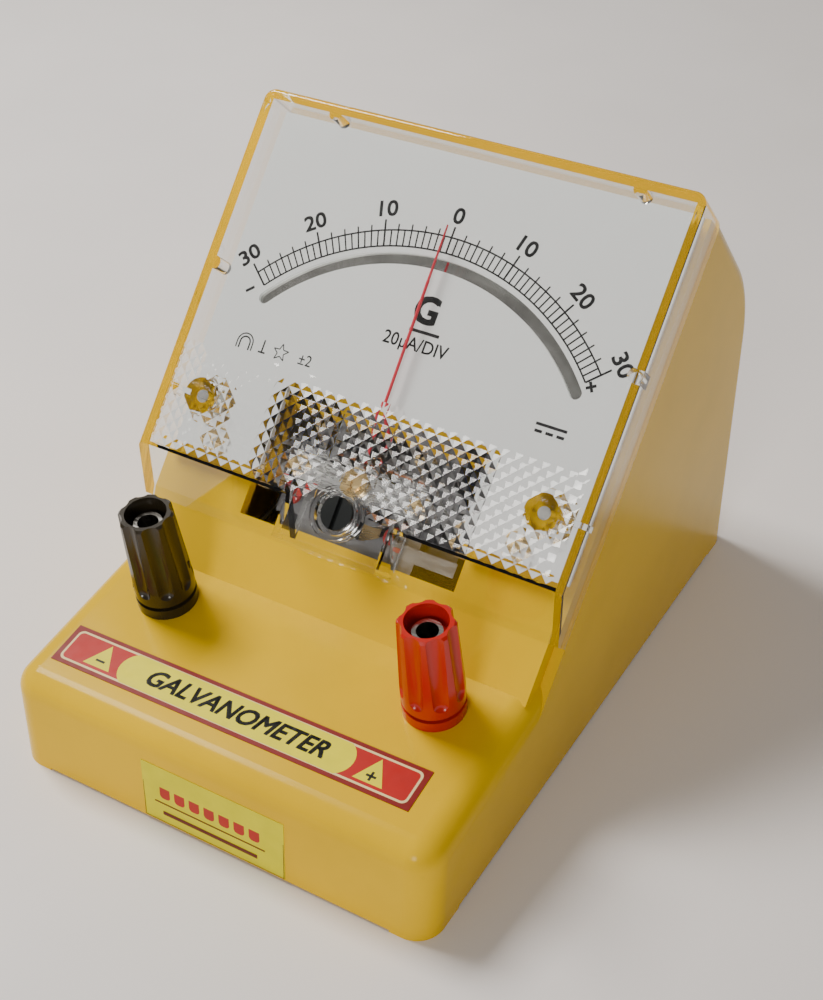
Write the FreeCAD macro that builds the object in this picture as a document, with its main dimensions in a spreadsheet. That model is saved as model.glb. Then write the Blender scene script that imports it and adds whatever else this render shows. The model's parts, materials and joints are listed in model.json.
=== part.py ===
import FreeCAD, Part
import math
import os
import re
import Sketcher

# Desk-stand moving-coil galvanometer: wedge case, clear meter cover, movement and two binding posts.
#
# Frame: X to the right as seen from the front, Y to the back, Z up, millimetres.
# The origin is the middle of the footprint, on the surface that the case stands on.
# Two tilted frames are used inside the model: the panel frame (x, up the panel, out of the panel), whose
# origin lies on the line where the deck meets the panel, and the deck frame (x, up the deck, out of the
# deck),
# whose origin lies on the line where the front face meets the deck.

Vector = FreeCAD.Vector
doc = FreeCAD.newDocument("galvanometer")

SIZES = [
    # case
    ("case_width", 92.0), ("case_depth", 135.0), ("front_height", 21.0), ("front_lean", 2.6),
    ("deck_slope", 8.3), ("deck_run", 44.6), ("panel_angle", 47.5), ("panel_length", 88.6),
    ("top_fall", 45.0), ("back_lean", 4.4), ("wall", 2.4), ("corner_round", 5.5), ("deck_round", 5.0),
    ("back_curve", 32.0), ("rear_round", 3.2), ("foot_relief", 0.5), ("foot_pad", 8.0),
    ("seat_height", 4.0), ("seat_gap", 0.2), ("overrun", 1.0),
    ("pillar_radius", 3.6), ("pillar_inset", 3.6), ("pillar_front", 13.0), ("pillar_rear", 17.0),
    ("pillar_height", 26.0),
    # base plate and its screws
    ("plate_level", 0.8), ("plate_thick", 2.2), ("plate_gap", 0.25), ("base_screw_radius", 1.45),
    ("base_screw_head", 2.75), ("base_screw_length", 11.0), ("screw_gap", 0.05),
    # clear cover
    ("cover_depth", 12.8), ("cover_wall", 1.8), ("cover_foot", 6.0), ("cover_foot_level", 4.15),
    ("cover_bend", 15.1), ("cover_round", 2.4), ("bay_width", 22.6), ("bay_foot", 6.9),
    ("boss_x", 37.0), ("boss_up", 27.5), ("boss_radius", 3.5), ("pip_radius", 1.3),
    ("cover_screw_radius", 1.2), ("cover_screw_head", 2.5), ("cover_screw_depth", 5.2),
    ("rib_thick", 1.1),
    # zero adjuster
    ("adjuster_up", 14.95), ("collar_radius", 5.15), ("collar_bore", 4.25), ("collar_rise", 1.0),
    ("adjuster_radius", 3.2), ("adjuster_gap", 0.05), ("adjuster_slot", 0.9), ("adjuster_slot_depth", 1.1),
    ("adjuster_back", 9.5), ("clip_thick", 0.45), ("clip_radius", 4.1), ("clip_groove", 2.7),
    ("pin_offset", 1.3), ("pin_radius", 0.55), ("pin_foot", 8.45),
    # dial
    ("dial_width", 86.6), ("dial_foot", 16.8), ("dial_head", 86.1), ("dial_level", 6.5),
    ("dial_thick", 0.8),
    ("notch_width", 46.6), ("notch_head", 34.8), ("boss_gap", 0.35), ("mirror_radius", 44.1),
    ("mirror_slot", 2.3), ("mirror_sweep", 49.7), ("mirror_margin", 1.6), ("mirror_thick", 0.5),
    ("dial_post_x", 33.5), ("dial_post_low", 20.4), ("dial_post_high", 80.0), ("dial_post_radius", 2.4),
    ("dial_screw_radius", 0.9), ("dial_screw_head", 1.7), ("dial_screw_rise", 0.7),
    ("dial_screw_length", 4.2),
    # window in the panel
    ("window_width", 47.6), ("window_foot", 9.4), ("window_head", 33.4),
    ("tongue_left", -10.4), ("tongue_right", -5.4), ("tongue_head", 15.4), ("tongue_gap", 0.4),
    ("tongue_thick", 1.2),
    # movement frame, magnet and core
    ("pivot_up", 21.2), ("frame_width", 64.0), ("frame_band", 6.4), ("frame_post", 27.0),
    ("frame_tall", 28.4),
    ("frame_thick", 2.5), ("frame_bore", 9.6),
    ("bar_start", 3.0), ("bar_end", 22.4), ("bar_foot", 11.6), ("bar_head", 14.4), ("bar_thick", 1.6),
    ("frame_screw_x", 28.4), ("frame_screw_radius", 1.25),
    ("frame_screw_head", 2.4), ("frame_screw_grip", 1.9), ("pole_bore", 9.0), ("pole_radius", 13.0),
    ("pole_half_angle", 55.0), ("pole_height", 16.1), ("magnet_radius", 20.0), ("magnet_height", 13.6),
    ("magnet_drop", 9.0), ("core_radius", 6.3), ("core_top", -2.6), ("core_height", 13.0),
    ("back_plate_half", 15.0), ("back_plate_thick", 2.0), ("back_plate_bore", 9.3),
    ("pole_screw_radius", 0.95),
    ("pole_screw_angle", 35.0), ("pole_screw_ring", 11.0), ("pole_screw_head", 1.7),
    ("clamp_width", 4.0), ("clamp_depth", 9.0), ("clamp_reach", 12.6), ("clamp_post", 2.8),
    # bridges and jewel screws
    ("bridge_half", 14.4), ("bridge_width", 6.2), ("bridge_thick", 1.1), ("bridge_foot", 2.9),
    ("front_bridge_level", 8.6), ("rear_bridge_drop", 4.2), ("bridge_screw_radius", 0.8),
    ("bridge_screw_head", 1.4), ("jewel_screw_radius", 1.5), ("jewel_screw_top", 10.35),
    ("jewel_screw_foot", 6.0), ("jewel_radius", 0.8), ("jewel_depth", 1.0), ("jewel_slot", 0.5),
    ("nut_radius", 1.95), ("nut_thick", 0.65),
    # zero lever
    ("lever_thick", 0.45), ("lever_ring", 3.1), ("lever_arm", 3.2), ("lever_gap", 0.05), ("fork_gap", 0.22),
    ("anchor_radius", 0.35), ("anchor_foot", 5.3),
    # moving coil
    ("coil_half", 8.3), ("coil_band", 5.0), ("coil_thick", 1.0), ("former_thick", 0.4),
    ("former_band", 5.6),
    ("coil_top", -0.3), ("coil_foot", -17.7), ("staff_radius", 0.6), ("staff_base", 1.6),
    ("staff_tip", 0.12), ("staff_cone", 0.9), ("staff_entry", 0.5), ("tip_gap", 0.1), ("nose_drop", 2.4),
    # hairsprings
    ("spring_turns", 4.0), ("spring_start", 1.5), ("spring_pitch", 0.85), ("spring_strip", 0.14),
    ("spring_height", 0.4), ("spring_level", 5.5),
    # pointer
    ("hub_radius", 1.35), ("hub_level", 4.4), ("hub_height", 0.9), ("arm_level", 4.85), ("arm_width", 0.9),
    ("arm_thick", 0.5), ("tail_length", 8.6), ("side_length", 7.2), ("weight_radius", 0.95),
    ("weight_length", 1.7), ("needle_radius", 0.3), ("needle_rise_from", 9.0), ("needle_rise_to", 13.0),
    ("needle_level", 8.5), ("needle_tip", 51.2), ("needle_blade", 11.0), ("needle_rest", 0.75),
    ("stop_angle", 53.8), ("stop_radius", 0.5), ("stop_ring", 13.4), ("stop_top", 9.3),
    # binding posts
    ("post_x", 29.7), ("post_up", 30.4), ("flange_radius", 5.95), ("flange_height", 2.3),
    ("neck_radius", 4.0), ("neck_gap", 0.05), ("washer_radius", 4.8), ("washer_thick", 0.6),
    ("cap_gap", 0.15), ("cap_top", 22.9), ("cap_foot_radius", 5.9), ("cap_top_radius", 5.25),
    ("cap_skirt", 3.4), ("cap_chamfer", 0.45),
    ("cap_recess", 3.95), ("cap_recess_depth", 4.2), ("cap_mouth", 4.1), ("cap_well", 8.5),
    ("flute_count", 8.0), ("flute_radius", 1.9),
    ("flute_depth", 0.85), ("stem_radius", 2.75), ("stem_top", 20.4), ("socket_radius", 2.0),
    ("socket_depth", 15.2), ("stem_gap", 0.05), ("stud_radius", 2.0), ("stud_length", 11.6),
    ("insulator_radius", 5.6), ("insulator_thick", 1.5), ("nut_across", 7.0), ("nut_height", 2.6),
    ("tag_thick", 0.5), ("tag_radius", 3.6), ("tag_reach", 9.0), ("tag_width", 3.0),
    # lugs and lead wires
    ("lug_x", 22.0), ("lug_foot", 15.6), ("lug_width", 2.6), ("lug_thick", 0.5),
    ("lead_radius", 0.65), ("lead_drop", 9.5), ("lead_bend", 3.0),
    # labels
    ("label_length", 77.4), ("label_width", 9.1), ("label_up", 8.1), ("label_thick", 0.15),
    ("label_shift", -1.8),
    ("label_turn", 0.6), ("sticker_width", 31.2), ("sticker_height", 13.8), ("sticker_level", 0.95),
    ("sticker_shift", 0.8),
]

PLACES = [
    ("half_width", "case_width / 2"),
    ("front_y", "-case_depth / 2"),
    ("panel_y", "front_y + deck_run"),
    ("panel_z", "front_height + deck_run * tan(deck_slope)"),
    ("front_top_run", "front_height * tan(front_lean) / (1 - tan(front_lean) * tan(deck_slope))"),
    ("front_top_y", "front_y + front_top_run"),
    ("front_top_z", "front_height + front_top_run * tan(deck_slope)"),
    ("panel_top_y", "panel_y + panel_length * cos(panel_angle)"),
    ("panel_top_z", "panel_z + panel_length * sin(panel_angle)"),
    ("top_run", "(-front_y - panel_top_y - panel_top_z * tan(back_lean)) "
                "/ (cos(top_fall) - sin(top_fall) * tan(back_lean))"),
    ("back_y", "panel_top_y + top_run * cos(top_fall)"),
    ("back_z", "panel_top_z - top_run * sin(top_fall)"),
    ("cover_inner", "cover_depth - cover_wall"),
    ("seat_half", "half_width - cover_wall - seat_gap"),
    ("seat_top", "panel_length - cover_wall - seat_gap"),
    ("seat_wall", "seat_height - wall"),
    ("frame_top", "seat_wall"),
    ("frame_back", "frame_top - frame_thick"),
    ("pole_back", "frame_back - pole_height"),
    ("plate_back", "pole_back - back_plate_thick"),
    ("rear_bridge_level", "plate_back - rear_bridge_drop"),
    ("lever_level", "front_bridge_level + 0.1"),
    ("nut_level", "lever_level + lever_thick + 0.1"),
    ("lever_reach", "pivot_up - adjuster_up + pin_offset"),
    ("rear_screw_nose", "coil_foot - nose_drop"),
    ("cap_foot", "flange_height + washer_thick + 2 * cap_gap"),
    ("plate_top", "plate_level + plate_thick"),
    ("front_pillar_y", "front_y + pillar_front"),
    ("rear_pillar_y", "-front_y - pillar_rear"),
    ("pillar_x", "half_width - wall - pillar_inset"),
    ("dial_back", "dial_level - dial_thick"),
    ("anchor_ring",
     "spring_start + spring_turns * spring_pitch + spring_strip / 2 + anchor_radius + lever_gap"),
    ("rear_spring_level", "rear_screw_nose + jewel_screw_foot - spring_level"),
    ("cup_depth", "staff_entry + tip_gap"),
    ("flute_ring", "cap_foot_radius + flute_radius - flute_depth"),
    ("tag_level", "-wall - insulator_thick - tag_thick"),
]

SHEET_OF = {name: "Sizes" for name, number in SIZES}
SHEET_OF.update({name: "Places" for name, formula in PLACES})


def rule(text):
    """Links each size or place named in a formula to its cell."""
    def link(found):
        word = found.group(0)
        return SHEET_OF[word] + "." + word if word in SHEET_OF else word
    return re.sub(r"[a-z][a-z_]*", link, str(text))


def make_sheets():
    """The driving sizes as plain numbers, and the places worked out from them."""
    sizes = doc.addObject("Spreadsheet::Sheet", "Sizes")
    for row, (name, number) in enumerate(SIZES, 1):
        sizes.set("A%d" % row, name)
        sizes.set("B%d" % row, str(number))
        sizes.setAlias("B%d" % row, name)
    doc.recompute()
    places = doc.addObject("Spreadsheet::Sheet", "Places")
    for row, (name, formula) in enumerate(PLACES, 1):
        places.set("A%d" % row, name)
        places.set("B%d" % row, "=" + rule(formula).replace("Places.", ""))
        places.setAlias("B%d" % row, name)
    doc.recompute()


make_sheets()


def value(name):
    """The number a size or place holds now."""
    return float(doc.getObject(SHEET_OF[name]).get(name))


# ---------------------------------------------------------------- frames
def on_panel(thing):
    """Stands a sub-part in the panel frame."""
    thing.Placement = FreeCAD.Placement(Vector(0, 1, 1), FreeCAD.Rotation(Vector(1, 0, 0), 45))
    thing.setExpression("Placement.Base.y", rule("panel_y"))
    thing.setExpression("Placement.Base.z", rule("panel_z"))
    thing.setExpression("Placement.Rotation.Angle", rule("panel_angle"))


def on_deck(thing, side=0):
    """Stands a sub-part in the deck frame, or on the axis of the left (-1) or right (1) binding post."""
    thing.Placement = FreeCAD.Placement(Vector(0, 0, 1), FreeCAD.Rotation(Vector(1, 0, 0), 10))
    thing.setExpression("Placement.Rotation.Angle", rule("deck_slope"))
    thing.setExpression("Placement.Base.y", rule("front_y"))
    thing.setExpression("Placement.Base.z", rule("front_height"))
    if side:
        thing.setExpression("Placement.Base.x", rule("%d * post_x" % side))
        thing.setExpression("Placement.Base.y", rule("front_y + post_up * cos(deck_slope)"))
        thing.setExpression("Placement.Base.z", rule("front_height + post_up * sin(deck_slope)"))


NODES = []


def node(thing, name, frame=None, *frame_args):
    """Names a finished sub-part and stands it in its frame."""
    thing.Label = name
    if frame:
        frame(thing, *frame_args)
    NODES.append(thing)
    return thing


# ---------------------------------------------------------------- solids bound to the sheets
def block(name, x_span, y_span, z_span):
    """A box between three pairs of limits."""
    solid = doc.addObject("Part::Box", name)
    for side, axis, (low, high) in zip(("Length", "Width", "Height"), "xyz", (x_span, y_span, z_span)):
        solid.setExpression(side, rule("(%s) - (%s)" % (high, low)))
        solid.setExpression("Placement.Base." + axis, rule(low))
    return solid


AXES = {"z": FreeCAD.Rotation(), "y": FreeCAD.Rotation(Vector(1, 0, 0), -90),
        "x": FreeCAD.Rotation(Vector(0, 1, 0), 90)}


def stand(solid, centre, low, axis):
    """Puts the foot of a round solid at its centre, on the named axis."""
    solid.Placement = FreeCAD.Placement(Vector(), AXES[axis])
    across = [letter for letter in "xyz" if letter != axis]
    for letter, place in list(zip(across, centre)) + [(axis, low)]:
        solid.setExpression("Placement.Base." + letter, rule(place))


def rod(name, radius, centre, low, high, axis="z"):
    """A cylinder along one axis, between two levels."""
    solid = doc.addObject("Part::Cylinder", name)
    stand(solid, centre, low, axis)
    solid.setExpression("Radius", rule(radius))
    solid.setExpression("Height", rule("(%s) - (%s)" % (high, low)))
    return solid


def cone(name, low_radius, high_radius, centre, low, high, axis="z"):
    """A cone along one axis, between two levels."""
    solid = doc.addObject("Part::Cone", name)
    stand(solid, centre, low, axis)
    solid.setExpression("Radius1", rule(low_radius))
    solid.setExpression("Radius2", rule(high_radius))
    solid.setExpression("Height", rule("(%s) - (%s)" % (high, low)))
    return solid


def ball(name, radius, centre, level):
    """A sphere about a place on one level."""
    solid = doc.addObject("Part::Sphere", name)
    stand(solid, centre, level, "z")
    solid.setExpression("Radius", rule(radius))
    return solid


def fuse(name, *solids):
    """One solid or group from several."""
    if len(solids) == 1:
        return solids[0]
    joined = doc.addObject("Part::MultiFuse", name)
    joined.Shapes = list(solids)
    return joined


def cut(name, base, *tools):
    """The base with every tool taken away."""
    left = doc.addObject("Part::Cut", name)
    left.Base = base
    left.Tool = fuse(name + "_tools", *tools)
    return left


def common(name, first, second):
    """What two solids share."""
    shared = doc.addObject("Part::MultiCommon", name)
    shared.Shapes = [first, second]
    return shared


def group(name, *solids):
    """Separate solids kept in one sub-part."""
    together = doc.addObject("Part::Compound", name)
    together.Links = list(solids)
    return together


# ---------------------------------------------------------------- sketched bodies
def outline(body, name, plane, corners):
    """A closed straight-sided sketch whose corners are bound to the sheets."""
    sketch = body.newObject("Sketcher::SketchObject", name)
    support = [part for part in body.Origin.OriginFeatures if part.Role == plane][0]
    sketch.AttachmentSupport = [(support, "")]
    sketch.MapMode = "FlatFace"
    count = len(corners)
    ring = [Vector(math.cos(2 * math.pi * i / count), math.sin(2 * math.pi * i / count), 0)
            for i in range(count)]
    for i in range(count):
        sketch.addGeometry(Part.LineSegment(ring[i], ring[(i + 1) % count]), False)
    for i in range(count):
        sketch.addConstraint(Sketcher.Constraint("Coincident", i, 2, (i + 1) % count, 1))
    for i, corner in enumerate(corners):
        for kind, start, place in zip(("DistanceX", "DistanceY"), (ring[i].x, ring[i].y), corner):
            index = sketch.addConstraint(Sketcher.Constraint(kind, -1, 1, i, 1, start))
            sketch.setExpression("Constraints[%d]" % index, rule(place))
    return sketch


def pad(body, name, sketch, length):
    """A pad the same length to both sides of its sketch."""
    feature = body.newObject("PartDesign::Pad", name)
    feature.Profile = sketch
    feature.Midplane = True
    feature.setExpression("Length", rule(length))
    doc.recompute()
    return feature


def edge_near(shape, point):
    """The name of the edge that passes nearest a point."""
    probe = Part.Vertex(Vector(*point))
    far = [edge.distToShape(probe)[0] for edge in shape.Edges]
    return "Edge%d" % (far.index(min(far)) + 1)


def soften(body, name, base, radius, points):
    """Rounds the edges nearest the given points."""
    feature = body.newObject("PartDesign::Fillet", name)
    feature.Base = (base, sorted({edge_near(base.Shape, point) for point in points}))
    feature.setExpression("Radius", rule(radius))
    doc.recompute()
    return feature


def inset_corner(place, first, second, first_inset, second_inset):
    """Where two edges meet after each moves inwards; the angles are those of their inward normals."""
    y, z = place
    turn = "((%s) - (%s))" % (second, first)
    first_share = "((%s) - (%s) * cos(%s))" % (first_inset, second_inset, turn)
    second_share = "((%s) - (%s) * cos(%s))" % (second_inset, first_inset, turn)
    parts = [(y, "cos"), (z, "sin")]
    return ["%s + (%s * %s(%s) + %s * %s(%s)) / sin(%s)^2"
            % (start, first_share, part, first, second_share, part, second, turn) for start, part in parts]


def wedge(name, inset, below):
    """The case's outer shape, or its hollow when inset by the wall."""
    body = doc.addObject("PartDesign::Body", name)
    front, deck, panel = "(-front_lean)", "(deck_slope - 90)", "(panel_angle - 90)"
    top, back, floor = "(-90 - top_fall)", "(180 + back_lean)", "90"
    corners = [
        inset_corner(("front_y", "0"), floor, front, below, inset),
        inset_corner(("front_top_y", "front_top_z"), front, deck, inset, inset),
        inset_corner(("panel_y", "panel_z"), deck, panel, inset, inset),
        inset_corner(("panel_top_y", "panel_top_z"), panel, top, inset, inset),
        inset_corner(("back_y", "back_z"), top, back, inset, inset),
        inset_corner(("-front_y", "0"), back, floor, inset, below),
    ]
    sketch = outline(body, name + "_profile", "YZ_Plane", corners)
    feature = pad(body, name + "_pad", sketch, "case_width - 2 * (%s)" % inset)
    half = value("half_width")
    low = value("front_height") / 2
    sides = [(side * half, value("front_y"), low) for side in (-1, 1)]
    feature = soften(body, name + "_corners", feature, "corner_round - (%s)" % inset, sides)
    ridge = [(0, value("back_y"), value("back_z"))]
    feature = soften(body, name + "_back", feature, "back_curve - (%s)" % inset, ridge)
    brow = [(0, value("front_top_y"), value("front_top_z"))]
    feature = soften(body, name + "_brow", feature, "deck_round - (%s)" % inset, brow)
    heel = [(side * half, -value("front_y"), low) for side in (-1, 1)]
    feature = soften(body, name + "_heel", feature, "rear_round - (%s)" % inset, heel)
    return body


def both_sides(name, maker):
    """The same solid made on the left and on the right."""
    return [maker("%s_%s" % (name, word), side) for word, side in (("left", -1), ("right", 1))]


# ---------------------------------------------------------------- case
def make_case():
    """The moulded wedge with its raised meter seat, window, post holes and base pillars."""
    outer = wedge("case_outer", "0", "0")
    hollow = wedge("case_hollow", "wall", "-overrun")
    seat = block("seat", ("-seat_half", "seat_half"), ("-cover_foot", "seat_top"),
                 ("-wall / 2", "seat_height"))
    dial_posts = []
    post_holes = []
    for level in ("dial_post_low", "dial_post_high"):
        for side in (-1, 1):
            centre = ("%d * dial_post_x" % side, level)
            tag = "%s_%d" % (level, side + 1)
            dial_posts.append(rod(tag, "dial_post_radius", centre, "seat_wall", "dial_back"))
            if level == "dial_post_low":
                post_holes.append(rod(tag + "_hole", "dial_screw_radius + screw_gap", centre,
                                      "dial_level - dial_screw_length - screw_gap", "dial_level"))
    raised = fuse("seat_and_posts", seat, *dial_posts)
    on_panel(raised)
    recess = block("seat_recess", ("-seat_half + wall", "seat_half - wall"),
                   ("0", "seat_top - wall"), ("-wall - overrun", "seat_wall"))
    window = block("window", ("-window_width / 2", "window_width / 2"), ("window_foot", "window_head"),
                   ("-wall - overrun", "seat_height + overrun"))
    cover_holes = both_sides("cover_hole", lambda name, side: rod(
        name, "cover_screw_radius + screw_gap", ("%d * boss_x" % side, "boss_up"),
        "seat_wall - overrun", "seat_height + overrun"))
    frame_holes = both_sides("frame_hole", lambda name, side: rod(
        name, "frame_screw_radius + screw_gap", ("%d * frame_screw_x" % side, "pivot_up"),
        "seat_wall - overrun", "seat_wall + frame_screw_grip"))
    panel_cuts = fuse("panel_cuts", recess, window, *(cover_holes + frame_holes + post_holes))
    on_panel(panel_cuts)
    deck_holes = fuse("deck_holes", *both_sides("deck_hole", lambda name, side: rod(
        name, "neck_radius + neck_gap", ("%d * post_x" % side, "post_up"), "-wall - overrun", "overrun")))
    on_deck(deck_holes)
    relief = fuse("foot_relief",
                  block("relief_across", ("-half_width + foot_pad", "half_width - foot_pad"),
                        ("front_y - overrun", "overrun - front_y"), ("-overrun", "foot_relief")),
                  block("relief_along", ("-half_width - overrun", "half_width + overrun"),
                        ("front_y + foot_pad + corner_round / 2", "-front_y - foot_pad"),
                        ("-overrun", "foot_relief")))
    pillars = []
    pilot_holes = []
    for place in ("front_pillar_y", "rear_pillar_y"):
        for side in (-1, 1):
            centre = ("%d * pillar_x" % side, place)
            tag = "%s_%d" % (place, side + 1)
            pillars.append(rod(tag, "pillar_radius", centre, "plate_top", "pillar_height"))
            pilot_holes.append(rod(tag + "_hole", "base_screw_radius + screw_gap", centre,
                                   "plate_level", "plate_level + base_screw_length + overrun"))
    stumps = common("trimmed_pillars", fuse("pillars", *pillars), outer)
    shell = cut("case_walls", fuse("case_block", outer, raised), hollow, panel_cuts, deck_holes, relief)
    tongue = block("window_tongue", ("tongue_left", "tongue_right"),
                   ("window_foot - overrun", "tongue_head"),
                   ("seat_wall + tongue_gap", "seat_wall + tongue_gap + tongue_thick"))
    on_panel(tongue)
    case = cut("case_shell", fuse("case_with_pillars", shell, stumps, tongue), *pilot_holes)
    return node(case, "case_shell")


def make_base():
    """The flat plate that closes the case from below, and its four countersunk screws."""
    plate_outer = wedge("plate_outline", "wall + plate_gap", "-overrun")
    slab = block("plate_slab", ("-half_width", "half_width"), ("front_y", "-front_y"),
                 ("plate_level", "plate_top"))
    sheet = common("plate_sheet", plate_outer, slab)
    sinks = []
    screws = []
    for place in ("front_pillar_y", "rear_pillar_y"):
        for side in (-1, 1):
            centre = ("%d * pillar_x" % side, place)
            tag = "base_screw_%s_%d" % (place, side + 1)
            depth = "base_screw_head - base_screw_radius"
            sinks.append(fuse(tag + "_seat",
                              cone(tag + "_sink", "base_screw_head + screw_gap",
                                   "base_screw_radius + screw_gap",
                                   centre, "plate_level", "plate_level + " + depth),
                              rod(tag + "_bore", "base_screw_radius + screw_gap", centre, "0",
                                  "plate_top + overrun")))
            head = cone(tag + "_head", "base_screw_head", "base_screw_radius", centre,
                        "plate_level", "plate_level + " + depth)
            shank = rod(tag + "_shank", "base_screw_radius", centre, "plate_level",
                        "plate_level + base_screw_length")
            slot = block(tag + "_slot", ("%s - base_screw_head" % centre[0],
                                         "%s + base_screw_head" % centre[0]),
                         ("%s - rib_thick / 2" % place, "%s + rib_thick / 2" % place),
                         ("plate_level", "plate_level + rib_thick / 2"))
            screws.append(cut(tag, fuse(tag + "_whole", head, shank), slot))
    node(cut("base_plate", sheet, *sinks), "base_plate")
    node(group("base_plate_screws", *screws), "base_plate_screws")


# ---------------------------------------------------------------- clear cover
def make_cover():
    """The clear moulding over the dial: bevelled foot, bay around the zero adjuster, two screw bosses."""
    shell = doc.addObject("PartDesign::Body", "cover_shell")
    profile = outline(shell, "cover_profile", "YZ_Plane", [
        ("cover_foot", "0"), ("cover_foot", "cover_foot_level"), ("cover_bend", "cover_depth"),
        ("panel_length", "cover_depth"), ("panel_length", "0")])
    feature = pad(shell, "cover_pad", profile, "case_width")
    half = value("half_width")
    top = value("panel_length")
    depth = value("cover_depth")
    corners = [(side * half, top, depth / 2) for side in (-1, 1)]
    feature = soften(shell, "cover_corners", feature, "cover_round", corners)
    rims = [(0, top, depth), (-half, top / 2, depth), (half, top / 2, depth)]
    soften(shell, "cover_rims", feature, "cover_wall / 2", rims)

    hollow = doc.addObject("PartDesign::Body", "cover_hollow")
    bevel = "atan((cover_depth - cover_foot_level) / (cover_bend - cover_foot))"
    foot_up = "(cover_foot + cover_wall / sin(%s))" % bevel
    bend_up = "(cover_bend + cover_wall * tan((%s) / 2))" % bevel
    inner = outline(hollow, "hollow_profile", "YZ_Plane", [
        ("cover_foot - overrun", "-overrun"), ("cover_foot - overrun", "cover_foot_level"),
        (foot_up, "cover_foot_level"), (bend_up, "cover_inner"),
        ("panel_length - cover_wall", "cover_inner"), ("panel_length - cover_wall", "-overrun")])
    pad(hollow, "hollow_pad", inner, "case_width - 2 * cover_wall")

    bay = block("bay", ("-bay_width / 2", "bay_width / 2"), ("bay_foot", "cover_bend + cover_wall"),
                ("cover_foot_level", "cover_depth"))
    bay_room = block("bay_room", ("-bay_width / 2 + cover_wall / 2", "bay_width / 2 - cover_wall / 2"),
                     ("bay_foot + cover_wall / 2", "cover_bend + 2 * cover_wall"),
                     ("0", "cover_inner"))
    adjuster = ("0", "adjuster_up")
    collar = rod("collar", "collar_radius", adjuster, "cover_inner - cover_wall / 3",
                 "cover_depth + collar_rise")
    bore = rod("adjuster_bore", "adjuster_radius + adjuster_gap", adjuster, "0",
               "cover_depth + overrun + collar_rise")
    well = rod("adjuster_well", "collar_bore", adjuster, "cover_depth - cover_wall / 4",
               "cover_depth + overrun + collar_rise")
    bosses = both_sides("boss", lambda name, side: rod(
        name, "boss_radius", ("%d * boss_x" % side, "boss_up"), "seat_height",
        "cover_depth - cover_wall / 2"))
    ribs = both_sides("boss_rib", lambda name, side: block(
        name, ("%d * (half_width + boss_x) / 2 - (half_width - boss_x - cover_wall) / 2" % side,
               "%d * (half_width + boss_x) / 2 + (half_width - boss_x - cover_wall) / 2" % side),
        ("boss_up - rib_thick / 2", "boss_up + rib_thick / 2"),
        ("dial_level + rib_thick", "cover_inner + cover_wall / 2")))
    pilots = both_sides("boss_pilot", lambda name, side: rod(
        name, "cover_screw_radius + screw_gap", ("%d * boss_x" % side, "boss_up"),
        "0", "seat_height + cover_screw_depth + screw_gap"))
    pips = []
    for tag, x_place, up_place in (("top_left", "-boss_x + 2 * boss_radius", "panel_length - cover_wall"),
                                   ("top_right", "boss_x - boss_radius", "panel_length - cover_wall"),
                                   ("side_left", "-half_width + cover_wall", "pivot_up * 2.5"),
                                   ("side_right", "half_width - cover_wall", "pivot_up * 2.6")):
        pips.append(rod("pip_" + tag, "pip_radius", (x_place, up_place), "dial_level + screw_gap * 4",
                        "cover_inner + cover_wall / 4"))
    walls = fuse("cover_walls", cut("cover_open", shell, hollow, bay_room), cut("bay_walls", bay, bay_room))
    solid = fuse("cover_solid", walls, collar, *(bosses + ribs + [common("pips", fuse("all_pips", *pips),
                                                                         block(
        "pip_limit", ("-half_width + pip_radius / 2", "half_width - pip_radius / 2"),
        ("0", "panel_length - pip_radius / 2"), ("0", "cover_inner + cover_wall / 4")))]))
    node(cut("meter_cover", solid, bore, well, *pilots), "meter_cover", on_panel)

    screws = both_sides("cover_screw", lambda name, side: fuse(
        name,
        rod(name + "_shank", "cover_screw_radius", ("%d * boss_x" % side, "boss_up"),
            "seat_wall - rib_thick",
            "seat_height + cover_screw_depth"),
        rod(name + "_head", "cover_screw_head", ("%d * boss_x" % side, "boss_up"),
            "seat_wall - 1.5 * rib_thick",
            "seat_wall")))
    node(group("cover_screws", *screws), "cover_screws", on_panel)


def make_adjuster():
    """The slotted zero adjuster in the cover, its eccentric pin and its spring clip."""
    centre = ("0", "adjuster_up")
    head = "cover_depth + collar_rise / 3"
    plug = rod("plug", "adjuster_radius", centre, "adjuster_back", head)
    pin = rod("pin", "pin_radius", ("0", "adjuster_up - pin_offset"), "pin_foot",
              "adjuster_back + overrun / 2")
    clip_low = "adjuster_back + clip_thick"
    clip_high = "adjuster_back + 2 * clip_thick"
    groove = cut("clip_groove", rod("groove_outer", "adjuster_radius + overrun", centre, clip_low,
                                    clip_high),
                 rod("groove_inner", "clip_groove", centre, clip_low, clip_high))
    slot = block("driver_slot", ("-adjuster_slot / 2", "adjuster_slot / 2"),
                 ("adjuster_up - adjuster_radius", "adjuster_up + adjuster_radius"),
                 ("%s - adjuster_slot_depth" % head, head + " + overrun"))
    node(cut("zero_adjuster", fuse("plug_and_pin", plug, pin), groove, slot), "zero_adjuster", on_panel)
    ring = rod("clip_outer", "clip_radius", centre, clip_low + " + adjuster_gap",
               clip_high + " - adjuster_gap")
    mouth = block("clip_mouth", ("-clip_groove / 2", "clip_groove / 2"),
                  ("adjuster_up", "adjuster_up + 2 * clip_radius"),
                  (clip_low, clip_high))
    clip = cut("adjuster_clip", ring, rod("clip_inner", "clip_groove + adjuster_gap", centre, clip_low,
                                          clip_high), mouth)
    node(clip, "adjuster_clip", on_panel)


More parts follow.
